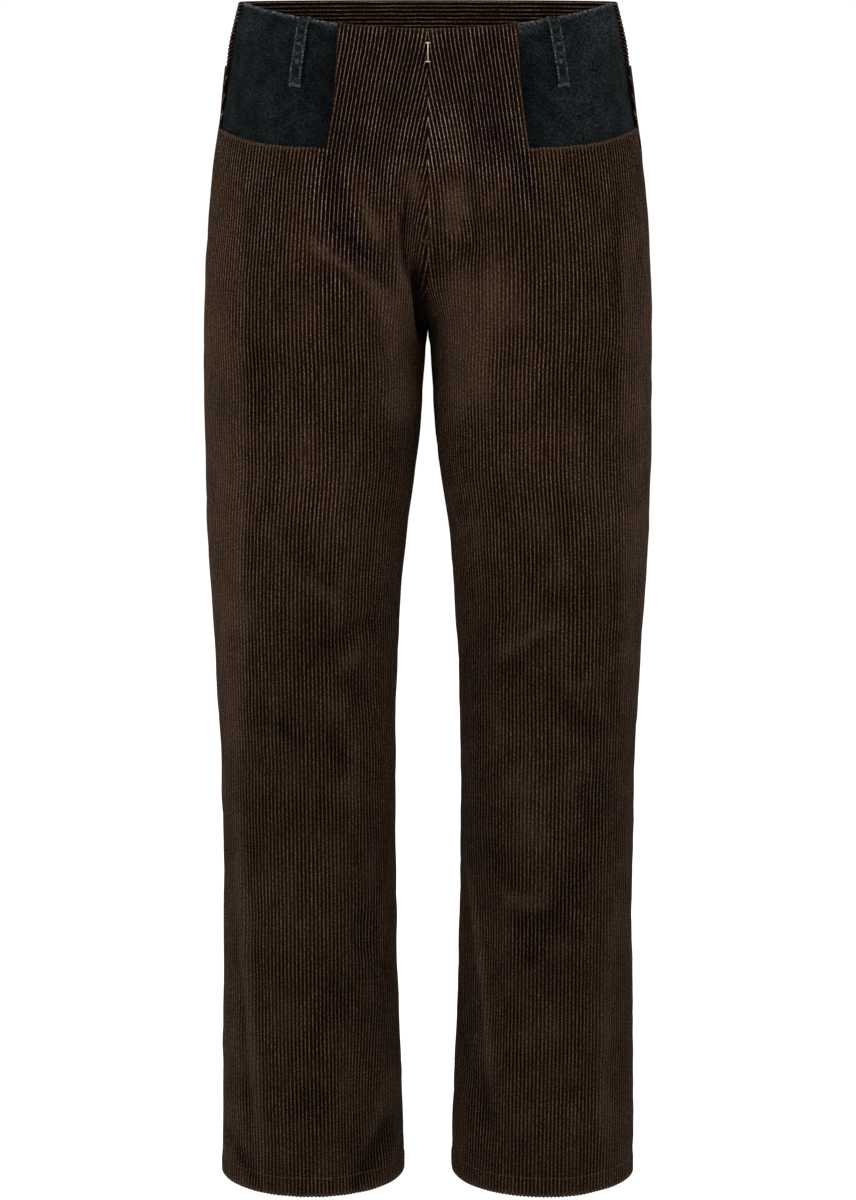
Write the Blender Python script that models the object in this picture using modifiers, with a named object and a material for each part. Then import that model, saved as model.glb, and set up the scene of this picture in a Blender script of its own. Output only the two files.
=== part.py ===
"""Straight-leg corduroy trousers with black denim hip panels, in the hollow shape they take when worn.

Each cloth piece is a thin wall. Its points lie on one form, a leg section that changes with height and is
cut by the middle plane above the crotch, so the seat, the rise and the two legs come from one table.
Places on the cloth are given as (height, distance along the cloth from the grain line), the way the piece
lies on the cutting table, so a wale stays at one distance all the way down and ends where a seam cuts it.

Metres, +Z up. The wearer faces -Y and the wearer's left is at +X. The origin is in the middle of the
waist opening, half way down the waistband. Sizes in the tables below are in millimetres.
"""

from collections import namedtuple

import bmesh
import bpy
import numpy as np

MM = 0.001

# Cloth
WALL = 1.8
DENIM_WALL = 1.5
SEAM_GAP = 0.3
LAYER_GAP = 0.3
HIP_GAP = 0.8
WALE_PITCH = 3.63
WALE_HEIGHT = 0.8
WALE_TOP = WALE_HEIGHT / 2

# Mesh spacing along the cloth: a column on each wale's crest and one in each groove, and a plain inside.
# A column closer to a seam or a corner than the least share of a step is moved on to it.
OUTSIDE_STEP = WALE_PITCH / 2
INSIDE_STEP = 5 * WALE_PITCH
LEAST_STEP_SHARE = 0.25
LINE_RANGE = (-240, 280)
WELD = 0.001
SHARP_ANGLE = 0.9
SETTLE_TURNS = 5

# Heights
RIM_SIDE = 31.0
RIM_DROP = 20.3
RIM_REACH = 160.0
WAISTBAND_FOOT = -23.0
MOUTH_LEVEL = -86.0
HEM = -1016.0

# Hip panel, as its edges are seen from the front
HIP_EDGE_TOP = 75.0
HIP_EDGE_SPREAD = 8.5
HIP_EDGE_HEIGHT = 102.0
MOUTH_START = 95.0
MOUTH_END = 176.0
MOUTH_RISE = 11.0
MOUTH_BEND = 2.5
HIP_UNDERLAP = 14.0
HIP_SIDE_UNDERLAP = 7.0
HIP_TUCK_REACH = 8.0
HIP_COLUMNS = 9
HIP_ROWS = 7
HIP_LAYER = -(WALL + HIP_GAP)

# The back panel stands a little proud of the waistband that it is gathered under
BACK_PROUD = 1.5
BACK_PROUD_REACH = 40.0

# Waistband
WAISTBAND_HALF_COLUMNS = 10
WAISTBAND_INSIDE_ROWS = 4

# Fly
FLY_SHIELD_HALF_WIDTH = 20.0
FLY_SHIELD_TOP_SHARE = 0.04
FLY_SHIELD_HALF_COLUMNS = 3
FLY_BAR_TOP = 0.6
FLY_BAR_LENGTH = 17.0
FLY_BAR_RADIUS = 0.9
FLY_NUB_RADIUS = 2.1
FLY_NUB_HEIGHT = 2.6
FLY_BAR_SIDES = 12

# Belt loops. A loop reaches its full gap within the seat share of its length, at either end. The hip bend is
# the radius of the body under it, which lifts its two edges.
LOOP_WIDTH = 10.0
LOOP_THICKNESS = 1.6
LOOP_GAP = 3.4
LOOP_SEAT_SHARE = 0.14
LOOP_RISE_POWER = 0.7
LOOP_ROWS = 9
HIP_BEND = 100.0

# One row for each height. outer, centre and inner are distances from the middle plane of the outermost
# point, the centre and the innermost point of the section, and inner is behind the plane above the crotch.
# front and back are its depths, and fullness is its roundness (2 is an ellipse, more is squarer).
# front_grain and back_grain are where the grain line of each panel lies. side_seam is how far the side
# seam lies in front of the outermost point, along the cloth.
SECTION_COLUMNS = "z outer centre inner front back fullness front_grain back_grain side_seam"
Section = namedtuple("Section", SECTION_COLUMNS)
SECTIONS = (
    Section(60, 152.0, 0, -152, 94, 90, 2.2, 84, 84, 20),
    Section(31, 160.5, 0, -160, 97, 95, 2.2, 86, 84, 20),
    Section(0, 168.2, 10, -156, 102, 103, 2.2, 88, 86, 20),
    Section(-23, 171.6, 18, -152, 105, 108, 2.2, 90, 88, 20),
    Section(-50, 175.6, 27, -148, 108, 114, 2.2, 92, 90, 19),
    Section(-86, 181.4, 40, -140, 111, 122, 2.2, 95, 94, 18),
    Section(-137, 187.2, 60, -112, 114, 130, 2.25, 99, 99, 17),
    Section(-171, 190.2, 77, -72, 114, 131, 2.3, 101, 102, 16),
    Section(-200, 191.6, 89, -30, 113, 129, 2.4, 102, 103, 16),
    Section(-223, 192.6, 95, -8, 112, 125, 2.45, 102, 103, 15),
    Section(-242, 193.2, 98, 0.9, 110, 120, 2.45, 102, 102, 15),
    Section(-275, 194.0, 99, 2.6, 106, 113, 2.4, 101, 100, 14),
    Section(-345, 194.4, 101, 7.9, 99, 103, 2.3, 101, 101, 13),
    Section(-416, 193.6, 105.5, 17.6, 91, 93, 2.2, 105.5, 105.5, 12),
    Section(-488, 190.4, 107.6, 24.6, 84, 84, 2.2, 107.6, 107.6, 12),
    Section(-560, 186.9, 107.2, 27.6, 78, 78, 2.15, 107.2, 107.2, 11),
    Section(-640, 183.8, 106.6, 29.4, 75, 75, 2.1, 106.6, 106.6, 10),
    Section(-740, 182.9, 106.0, 29.0, 73, 73, 2.05, 106.0, 106.0, 10),
    Section(-857, 185.0, 105.9, 26.7, 72, 72, 2.0, 105.9, 105.9, 9),
    Section(-953, 186.7, 105.0, 23.2, 73, 72, 2.0, 105.0, 105.0, 8),
    Section(-1016, 187.0, 104.4, 21.8, 75, 74, 2.0, 104.4, 104.4, 8),
    Section(-1046, 187.0, 104.4, 21.8, 75, 74, 2.0, 104.4, 104.4, 8),
)

# One row for each line that the panels are bent along, from the centre seam or inseam out to the side seam.
# inside and outside are its heights at those seams, which front and back share. The other columns are how
# far each panel is raised half way along the row, so neighbouring rows raised and sunk in turn are the
# creases that run from the crotch up to the hips and across the knees.
Row = namedtuple("Row", "inside outside front_left front_right back_left back_right")
ROWS = (
    Row(-150, -114, 0.8, 1.2, 0.4, 0.4),
    Row(-200, -158, -0.6, -0.8, 0.4, 0.3),
    Row(-229, -198, 1.0, 1.4, -0.4, -0.6),
    Row(-242, -240, -0.4, -0.8, -1.4, -1.8),
    Row(-345, -340, 0.6, 0.4, 0.8, 1.0),
    Row(-500, -478, -1.6, -1.0, -2.0, -1.6),
    Row(-592, -622, 0.6, -1.6, 0.8, -0.6),
    Row(-780, -780, 0.0, 0.0, 0.0, 0.0),
    Row(HEM, HEM, 0.0, 0.0, 0.0, 0.0),
)
FLY_ROW = Row(-36, -36, 0.0, 0.0, 0.0, 0.0)
MOUTH_ROW = Row(MOUTH_LEVEL, MOUTH_LEVEL, 0.0, 0.0, 0.0, 0.0)
BACK_TOP_ROW = Row(WAISTBAND_FOOT - SEAM_GAP, WAISTBAND_FOOT - SEAM_GAP, 0.0, 0.0, 0.0, 0.0)
BACK_MOUTH_ROW = Row(MOUTH_LEVEL, MOUTH_LEVEL + MOUTH_RISE, 0.0, 0.0, 0.0, 0.0)

# Long folds down the lower legs, as distances from the middle plane and heights. leg is 1 on the wearer's
# left and -1 on the right. A fold loses the fade share of its depth towards its lower end.
Fold = namedtuple("Fold", "face leg x_from z_from x_to z_to width depth")
FOLDS = (
    Fold("front", 1, 34, -640, 62, -1016, 14, 2.4),
    Fold("front", -1, 158, -700, 158, -1016, 13, 2.0),
    Fold("back", 1, 60, -660, 84, -1016, 14, 2.0),
    Fold("back", -1, 130, -690, 120, -1016, 14, 2.2),
)
FOLD_FADE = 0.6

# A belt loop hangs from its top to its foot. x is where it lies on the half, and layer is how far the
# face of the cloth under its top and its foot lies outside the form.
Loop = namedtuple("Loop", "name face leg x_top z_top x_foot z_foot layer_top layer_foot")
LOOPS = (
    Loop("belt_loop_front_left", "front", 1, 103, 20.5, 112.5, -37, HIP_LAYER, HIP_LAYER),
    Loop("belt_loop_front_right", "front", -1, 102, 20.5, 110.5, -37, HIP_LAYER, HIP_LAYER),
    Loop("belt_loop_back_left", "back", 1, 92, 29.5, 94, -30, WALE_TOP, WALE_TOP + BACK_PROUD),
    Loop("belt_loop_back_right", "back", -1, 92, 29.5, 94, -30, WALE_TOP, WALE_TOP + BACK_PROUD),
    Loop("belt_loop_back_centre", "back", 1, 0, 29.5, 0, -30, WALE_TOP, WALE_TOP + BACK_PROUD),
)

# Colours as linear red, green and blue
BROWN = (0.021, 0.011, 0.006)
BROWN_INSIDE = (0.019, 0.010, 0.007)
BLACK = (0.009, 0.010, 0.011)
PALE_GOLD = (0.62, 0.50, 0.32)

Face = namedtuple("Face", "sign own other grain")
FACES = {
    "front": Face(-1, "front", "back", "front_grain"),
    "back": Face(1, "back", "front", "back_grain"),
}

QUARTER_STEPS = 150
ANGLE_STEPS = np.arange(-45, 395)
ANGLES = ANGLE_STEPS * np.pi / 2 / QUARTER_STEPS
FACING = (ANGLE_STEPS >= 0) & (ANGLE_STEPS <= 2 * QUARTER_STEPS)
NORMAL_STEP = 0.5


def clear_scene():
    """Remove whatever the scene starts with."""
    for existing in list(bpy.data.objects):
        bpy.data.objects.remove(existing, do_unlink=True)


def make_material(name, colour, roughness, metallic=0.0):
    """A plain Principled BSDF material."""
    material = bpy.data.materials.new(name)
    material.use_nodes = True
    shader = material.node_tree.nodes["Principled BSDF"]
    shader.inputs["Base Color"].default_value = (*colour, 1.0)
    shader.inputs["Roughness"].default_value = roughness
    shader.inputs["Metallic"].default_value = metallic
    material.diffuse_color = (*colour, 1.0)
    return material


# ---------------------------------------------------------------------------------------------- the form


def column(name):
    """A column of the section table, with its heights, from the lowest row to the highest."""
    rows = sorted(SECTIONS)
    return np.array([row.z for row in rows], float), np.array([getattr(row, name) for row in rows], float)


def at_height(name, z):
    """A section size at any height, along a cubic that goes through the table and never overshoots it."""
    heights, values = column(name)
    gaps = np.diff(heights)
    rises = np.diff(values) / gaps
    same_way = rises[1:] * rises[:-1] > 0
    total = np.where(same_way, rises[1:] + rises[:-1], 1.0)
    middle = np.where(same_way, 2 * rises[1:] * rises[:-1] / total, 0.0)
    slopes = np.concatenate([rises[:1], middle, rises[-1:]])
    row = np.clip(np.searchsorted(heights, z) - 1, 0, len(gaps) - 1)
    t = (z - heights[row]) / gaps[row]
    return (
        values[row] * (1 + 2 * t) * (1 - t) ** 2
        + values[row + 1] * t**2 * (3 - 2 * t)
        + gaps[row] * slopes[row] * t * (1 - t) ** 2
        - gaps[row] * slopes[row + 1] * t**2 * (1 - t)
    )


def signed_power(value, power):
    """The power of a number's size, with its sign kept."""
    return np.sign(value) * np.abs(value) ** power


def half_sections(face, z):
    """x, y and distance along the cloth from the grain line, at each angle, for each height.

    The section is two joined quarter-ovals a side. Its angle is 0 at the innermost point, goes through the
    face's middle at a quarter turn, and passes the outermost point at a half turn.
    """
    z = np.asarray(z, float)[:, None]
    cosine = np.cos(ANGLES)
    sine = np.sin(ANGLES)
    centre = at_height("centre", z)
    reach = np.where(cosine > 0, centre - at_height("inner", z), at_height("outer", z) - centre)
    depth = np.where(sine > 0, at_height(face.own, z), at_height(face.other, z))
    power = 2 / at_height("fullness", z)
    x = centre - reach * signed_power(cosine, power)
    y = face.sign * depth * signed_power(sine, power)
    steps = np.hypot(np.diff(x, axis=1), np.diff(y, axis=1))
    along = np.concatenate([np.zeros_like(z), np.cumsum(steps, axis=1)], axis=1)
    grain = at_height(face.grain, z[:, 0])
    starts = [np.interp(g, row_x[FACING], row_u[FACING]) for g, row_x, row_u in zip(grain, x, along)]
    return x, y, along - np.array(starts)[:, None]


def along_at_x(face, z, x):
    """Distance along the cloth at which the face reaches a distance from the middle plane."""
    section_x, _, along = half_sections(face, z)
    return np.array([np.interp(a, sx[FACING], u[FACING]) for a, sx, u in zip(x, section_x, along)])


def seam_inside(face, z):
    """Distance along the cloth of the centre seam, or of the inseam where the legs have parted."""
    section_x, _, along = half_sections(face, z)
    clear = SEAM_GAP / 2
    found = [np.interp(clear, sx[FACING], u[FACING]) for sx, u in zip(section_x, along)]
    parted = section_x[:, FACING][:, 0] > clear
    return np.array(found) + np.where(parted, clear, 0.0)


def seam_outside(face, z):
    """Distance along the cloth of the side seam."""
    _, _, along = half_sections(face, z)
    side = np.array([np.interp(np.pi, ANGLES, u) for u in along])
    return side + face.sign * at_height("side_seam", np.asarray(z, float)) - SEAM_GAP / 2


def on_form(face, z, u):
    """Points of the form, in millimetres, for arrays of height and distance along the cloth."""
    z, u = np.broadcast_arrays(np.asarray(z, float), np.asarray(u, float))
    section_x, section_y, along = half_sections(face, z.ravel())
    x = [np.interp(a, row_u, row_x) for a, row_u, row_x in zip(u.ravel(), along, section_x)]
    y = [np.interp(a, row_u, row_y) for a, row_u, row_y in zip(u.ravel(), along, section_y)]
    return np.stack([np.reshape(x, z.shape), np.reshape(y, z.shape), z], axis=-1)


def lifted(face, z, u, lift):
    """Points moved out from the form along its normal."""
    points = on_form(face, z, u)
    across = on_form(face, z, u + NORMAL_STEP) - on_form(face, z, u - NORMAL_STEP)
    upward = on_form(face, z + NORMAL_STEP, u) - on_form(face, z - NORMAL_STEP, u)
    normals = np.cross(across, upward) * -face.sign
    normals /= np.linalg.norm(normals, axis=-1, keepdims=True)
    moved = points + np.asarray(lift)[..., None] * normals
    moved[..., 2] = points[..., 2]
    moved[..., 0] = np.maximum(moved[..., 0], SEAM_GAP / 2)
    return moved


def fold_lift(face_name, leg, points):
    """How far the folds raise or sink the cloth at each point."""
    lift = np.zeros(points.shape[:-1])
    for fold in FOLDS:
        if fold.face != face_name or fold.leg != leg:
            continue
        run = np.array([fold.x_to - fold.x_from, fold.z_to - fold.z_from])
        reach = points[..., [0, 2]] - (fold.x_from, fold.z_from)
        share = reach @ run / (run @ run)
        aside = (reach[..., 0] * run[1] - reach[..., 1] * run[0]) / np.linalg.norm(run)
        past_end = np.maximum(np.abs(share - 0.5) - 0.5, 0.0) * np.linalg.norm(run)
        fade = 1 - FOLD_FADE * np.clip(share, 0, 1)
        lift += fold.depth * fade * np.exp(-(aside**2 + past_end**2) / fold.width**2)
    return lift


# -------------------------------------------------------------------------------------------- the mesh


class Wall:
    """Faces gathered from grids and strips of points, in millimetres, and welded where they meet."""

    def __init__(self):
        self.triangles = []

    def add_grid(self, points):
        """Two triangles for each cell of a grid of points."""
        a = points[:-1, :-1]
        b = points[:-1, 1:]
        c = points[1:, 1:]
        d = points[1:, :-1]
        for corners in ((a, b, c), (a, c, d)):
            self.triangles.append(np.stack(corners, axis=2).reshape(-1, 3, 3))

    def add_strip(self, first, second):
        """Triangles between two lines of points that run side by side, however many points each has."""
        first_share = line_shares(first)
        second_share = line_shares(second)
        i = j = 0
        found = []
        while i < len(first) - 1 or j < len(second) - 1:
            next_first = first_share[i + 1] if i < len(first) - 1 else np.inf
            next_second = second_share[j + 1] if j < len(second) - 1 else np.inf
            if next_first <= next_second:
                found.append((first[i], second[j], first[i + 1]))
                i += 1
            else:
                found.append((first[i], second[j], second[j + 1]))
                j += 1
        self.triangles.append(np.array(found))

    def build(self, name, leg, material, collection):
        """The closed mesh object, mirrored for the wearer's right."""
        triangles = np.concatenate(self.triangles) * (leg, 1, 1) * MM
        keys = np.round(triangles.reshape(-1, 3) / (WELD * MM)).astype(np.int64)
        _, first, index = np.unique(keys, axis=0, return_index=True, return_inverse=True)
        faces = index.reshape(-1, 3)
        whole = (faces[:, 0] != faces[:, 1]) & (faces[:, 1] != faces[:, 2]) & (faces[:, 0] != faces[:, 2])
        mesh = bpy.data.meshes.new(name)
        mesh.from_pydata(triangles.reshape(-1, 3)[first].tolist(), [], faces[whole].tolist())
        shape = bmesh.new()
        shape.from_mesh(mesh)
        bmesh.ops.recalc_face_normals(shape, faces=shape.faces)
        if shape.calc_volume(signed=True) < 0:
            bmesh.ops.reverse_faces(shape, faces=shape.faces)
        shape.to_mesh(mesh)
        shape.free()
        mesh.shade_smooth()
        mesh.set_sharp_from_angle(angle=SHARP_ANGLE)
        return add_object(name, mesh, material, collection)


def line_shares(points):
    """How far along a line of points each one lies, from 0 to 1."""
    steps = np.linalg.norm(np.diff(points, axis=0), axis=1)
    total = np.concatenate([[0.0], np.cumsum(steps)])
    return total / total[-1]


def add_object(name, mesh, material, collection):
    """A mesh as a named object with its material, in the trousers' collection."""
    made = bpy.data.objects.new(name, mesh)
    made.data.materials.append(material)
    collection.objects.link(made)
    return made


def column_lines(lowest, highest, step, corner=None):
    """Distances along the cloth for a grid's columns: multiples of the step, and a corner's own if given."""
    lines = np.arange(np.floor(lowest / step), np.ceil(highest / step) + 1) * step
    if corner is None:
        return lines
    apart = np.abs(lines - corner) > LEAST_STEP_SHARE * step
    return np.sort(np.append(lines[apart], corner))


def held_between(lines, low, high, step):
    """Column lines for each row, held at the row's two seams, with no sliver beside a seam."""
    low = low[:, None]
    high = high[:, None]
    held = np.clip(lines[None, :], low, high)
    margin = LEAST_STEP_SHARE * step
    held = np.where(held < low + margin, low, held)
    return np.where(held > high - margin, high, held)


# ----------------------------------------------------------------------------------------- cloth panels


def rim_height(x):
    """Height of the front waist edge, which dips towards the middle."""
    return RIM_SIDE - RIM_DROP * (1 - np.minimum(np.abs(x) / RIM_REACH, 1) ** 2)


def hip_edge(z):
    """Distance from the middle plane of the hip panel's upright edge."""
    return HIP_EDGE_TOP + HIP_EDGE_SPREAD * ((MOUTH_LEVEL + HIP_EDGE_HEIGHT - z) / HIP_EDGE_HEIGHT) ** 2


def mouth_height(x):
    """Height of the pocket mouth, which curves up to the side seam."""
    share = np.clip((x - MOUTH_START) / (MOUTH_END - MOUTH_START), 0, None)
    return MOUTH_LEVEL + MOUTH_RISE * share**MOUTH_BEND


def settle_row(face, lines, step, low_at, high_at, height_at):
    """A row whose height depends on where its points lie: (heights, distances along the cloth)."""
    z = np.full(len(lines), float(MOUTH_LEVEL))
    for _ in range(SETTLE_TURNS):
        low = low_at(face, z[:1])
        high = high_at(face, z[-1:])
        u = held_between(lines, low, high, step)[0]
        z = height_at(on_form(face, z, u)[..., 0])
    return z, u


def edge_of_hip(face, z):
    """Distance along the cloth of the hip panel's upright edge."""
    return along_at_x(face, z, hip_edge(z))


def sloping_row(face, lines, step, row, high_at=seam_outside):
    """A row between two heights at its seams: (heights, distances along the cloth)."""
    low = seam_inside(face, np.array([float(row.inside)]))
    high = high_at(face, np.array([float(row.outside)]))
    u = held_between(lines, low, high, step)[0]
    return row.inside + (row.outside - row.inside) * (u - low) / (high - low), u


def crease_lift(rows, face_name, leg, shares):
    """How far each row is raised by its crease: most half way along, and nothing at the seams."""
    panel = f"{face_name}_{'left' if leg > 0 else 'right'}"
    depths = np.array([getattr(row, panel) for row in rows])
    return depths[:, None] * np.sin(np.pi * shares)


def cloth_grid(face_name, leg, rows, creases, lift_at):
    """Points of a panel's rows, lifted by their creases, by the long folds and by the surface's own lift."""
    face = FACES[face_name]
    z = np.array([row[0] for row in rows])
    u = np.array([row[1] for row in rows])
    across = u - u[:, :1]
    lift = lift_at(u) + fold_lift(face_name, leg, on_form(face, z, u))
    lift += crease_lift(creases, face_name, leg, across / across[:, -1:])
    if face_name == "back":
        lift += BACK_PROUD * np.clip(1 - (WAISTBAND_FOOT - z) / BACK_PROUD_REACH, 0, 1)
    return lifted(face, z, u, lift)


def front_grids(leg, step, lift_at):
    """The front panel's two grids of points: beside the hip panel, and below the pocket mouth."""
    face = FACES["front"]
    corner = edge_of_hip(face, np.array([MOUTH_LEVEL]))[0]
    lines = column_lines(*LINE_RANGE, step, corner)
    rim = settle_row(face, lines, step, seam_inside, edge_of_hip, rim_height)
    middle = sloping_row(face, lines, step, FLY_ROW, edge_of_hip)
    foot = sloping_row(face, lines, step, MOUTH_ROW, edge_of_hip)
    mouth = settle_row(face, lines, step, seam_inside, seam_outside, mouth_height)
    above = cloth_grid("front", leg, [rim, middle, foot], [FLY_ROW, FLY_ROW, MOUTH_ROW], lift_at)
    rows = [mouth] + [sloping_row(face, lines, step, row) for row in ROWS]
    below = cloth_grid("front", leg, rows, [MOUTH_ROW, *ROWS], lift_at)
    return above, below, int(np.searchsorted(lines, corner))


def back_grid(leg, step, lift_at):
    """The back panel's grid of points, from the waistband to the hem."""
    face = FACES["back"]
    lines = column_lines(*LINE_RANGE, step)
    creases = (BACK_TOP_ROW, BACK_MOUTH_ROW, *ROWS)
    rows = [sloping_row(face, lines, step, row) for row in creases]
    return cloth_grid("back", leg, rows, creases, lift_at)


def outside(u):
    """The outer surface lies on the form, with a wale raised along each multiple of the pitch."""
    return WALE_TOP * np.cos(2 * np.pi * u / WALE_PITCH)


def inside(u):
    """The inner surface lies one wall in, and is plain."""
    return np.full(u.shape, -WALL)


def make_front(name, leg, material, collection):
    """A front: from the waist edge to the hem, with its corner cut away for the hip panel."""
    outer_above, outer_below, outer_corner = front_grids(leg, OUTSIDE_STEP, outside)
    inner_above, inner_below, inner_corner = front_grids(leg, INSIDE_STEP, inside)
    wall = Wall()
    for grid in (outer_above, outer_below, inner_above, inner_below):
        wall.add_grid(grid)
    wall.add_strip(outer_above[0], inner_above[0])
    wall.add_strip(outer_above[:, -1], inner_above[:, -1])
    wall.add_strip(outer_below[0, outer_corner:], inner_below[0, inner_corner:])
    wall.add_strip(outer_below[:, -1], inner_below[:, -1])
    wall.add_strip(outer_below[-1], inner_below[-1])
    wall.add_strip(outer_below[:, 0], inner_below[:, 0])
    wall.add_strip(outer_above[:, 0], inner_above[:, 0])
    return wall.build(name, leg, material, collection)


def make_back(name, leg, material, collection):
    """A back: from under the waistband to the hem."""
    outer = back_grid(leg, OUTSIDE_STEP, outside)
    inner = back_grid(leg, INSIDE_STEP, inside)
    wall = Wall()
    wall.add_grid(outer)
    wall.add_grid(inner)
    add_edges(wall, outer, inner)
    return wall.build(name, leg, material, collection)


def add_edges(wall, outer, inner):
    """Close a wall round the four edges of its outer and inner grids."""
    wall.add_strip(outer[0], inner[0])
    wall.add_strip(outer[-1], inner[-1])
    wall.add_strip(outer[:, 0], inner[:, 0])
    wall.add_strip(outer[:, -1], inner[:, -1])


def make_hip_panel(name, leg, material, collection):
    """A denim hip panel: one layer in, tucked under the front's edges and under the back's side edge."""
    face = FACES["front"]
    share = np.linspace(0, 1, HIP_COLUMNS)
    grids = []
    top = np.full(HIP_COLUMNS, RIM_SIDE)
    foot = np.full(HIP_COLUMNS, MOUTH_LEVEL)
    for _ in range(SETTLE_TURNS):
        x_top = on_form(face, top, hip_distance(face, top, share))[:, 0]
        x_foot = on_form(face, foot, hip_distance(face, foot, share))[:, 0]
        top = rim_height(x_top)
        foot = mouth_height(x_foot) - HIP_UNDERLAP
    for layer in (HIP_LAYER, HIP_LAYER - DENIM_WALL):
        z = top + (foot - top) * np.linspace(0, 1, HIP_ROWS)[:, None]
        u = np.array([hip_distance(face, row, share) for row in z])
        lift = layer + fold_lift("front", leg, on_form(face, z, u))
        grids.append(lifted(face, z, u, lift))
    wall = Wall()
    wall.add_grid(grids[0])
    wall.add_grid(grids[1])
    add_edges(wall, *grids)
    return wall.build(name, leg, material, collection)


def hip_distance(face, z, share):
    """Distances along the cloth across the hip panel, from under the front to the side seam.

    Above the waistband's foot the panel stops at the side seam, and below it tucks under the back.
    """
    low = edge_of_hip(face, z) - HIP_UNDERLAP
    tuck = np.clip((WAISTBAND_FOOT - z) / HIP_TUCK_REACH, 0, 1) * HIP_SIDE_UNDERLAP
    return low + (seam_outside(face, z) + tuck - low) * share


def make_waistband(name, material, collection):
    """The back waistband, with level wales raised on its outside, from side seam to side seam."""
    ribs = int(round((RIM_SIDE - WAISTBAND_FOOT) / WALE_PITCH))
    outer_rows = np.linspace(RIM_SIDE, WAISTBAND_FOOT, 2 * ribs + 1)
    relief = WALE_TOP * np.where(np.arange(len(outer_rows)) % 2, 1, -1)
    relief[[0, -1]] = 0
    outer = waistband_grid(outer_rows, relief)
    inner_rows = np.linspace(RIM_SIDE, WAISTBAND_FOOT, WAISTBAND_INSIDE_ROWS)
    inner = waistband_grid(inner_rows, np.full(len(inner_rows), -WALL))
    wall = Wall()
    wall.add_grid(outer)
    wall.add_grid(inner)
    add_edges(wall, outer, inner)
    return wall.build(name, 1, material, collection)


def waistband_grid(heights, lifts):
    """Points of the waistband for rows of heights, each with its lift, from one side round to the other."""
    face = FACES["back"]
    share = np.linspace(0, 1, WAISTBAND_HALF_COLUMNS)
    zero = along_at_x(face, heights, np.zeros(len(heights)))
    side = seam_outside(face, heights)
    u = zero[:, None] + (side - zero)[:, None] * share
    z = np.repeat(heights[:, None], WAISTBAND_HALF_COLUMNS, axis=1)
    half = lifted(face, z, u, np.repeat(lifts[:, None], WAISTBAND_HALF_COLUMNS, axis=1))
    half[:, 0, 0] = 0.0
    mirrored = half[:, :0:-1] * (-1, 1, 1)
    return np.concatenate([mirrored, half], axis=1)


# ------------------------------------------------------------------------------------------ small pieces


def make_fly_shield(name, material, collection):
    """The strip of cloth behind the centre front seam, bent where the fronts' own rows bend them."""
    face = FACES["front"]
    x = np.linspace(0, FLY_SHIELD_HALF_WIDTH, FLY_SHIELD_HALF_COLUMNS)
    heights = (RIM_SIDE - RIM_DROP, FLY_ROW.inside, MOUTH_LEVEL, ROWS[0].inside)
    z = np.repeat(np.array(heights)[:, None], len(x), axis=1)
    u = np.array([along_at_x(face, row, x) for row in z])
    grids = []
    for layer in (HIP_LAYER, HIP_LAYER - DENIM_WALL):
        half = lifted(face, z, u, np.full(u.shape, layer))
        half[:, 0, 0] = 0.0
        half[0] += (half[1] - half[0]) * FLY_SHIELD_TOP_SHARE
        grids.append(np.concatenate([half[:, :0:-1] * (-1, 1, 1), half], axis=1))
    wall = Wall()
    wall.add_grid(grids[0])
    wall.add_grid(grids[1])
    add_edges(wall, *grids)
    return wall.build(name, 1, material, collection)


def make_fly_bar(name, material, collection):
    """The upright metal bar on the centre front, a turned rod with a wider nub at each end."""
    middle = FLY_BAR_TOP - FLY_BAR_LENGTH / 2
    half = FLY_BAR_LENGTH / 2
    neck = half - FLY_NUB_HEIGHT
    profile = (
        (0.0, half),
        (0.6 * FLY_NUB_RADIUS, half),
        (FLY_NUB_RADIUS, half - 0.3 * FLY_NUB_HEIGHT),
        (FLY_NUB_RADIUS, half - 0.7 * FLY_NUB_HEIGHT),
        (FLY_BAR_RADIUS, neck),
    )
    points = [*profile, *[(radius, -z) for radius, z in reversed(profile)]]
    mesh = bpy.data.meshes.new(name)
    mesh.from_pydata(
        [(radius * MM, 0, z * MM) for radius, z in points], [(i, i + 1) for i in range(len(points) - 1)], []
    )
    bar = add_object(name, mesh, material, collection)
    turned = bar.modifiers.new("Turned", "SCREW")
    turned.steps = FLY_BAR_SIDES
    turned.render_steps = FLY_BAR_SIDES
    turned.use_merge_vertices = True
    turned.merge_threshold = 1e-6
    face = FACES["front"]
    ends = np.array([middle + half, middle - half])
    at = on_form(face, ends, along_at_x(face, ends, np.zeros(2)))
    lean = np.arctan2(at[0, 1] - at[1, 1], at[0, 2] - at[1, 2])
    clear = FLY_NUB_RADIUS + LAYER_GAP + WALE_TOP
    bar.location = (0.0, (at[:, 1].mean() - clear) * MM, middle * MM)
    bar.rotation_euler = (-lean, 0.0, 0.0)
    return bar


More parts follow.
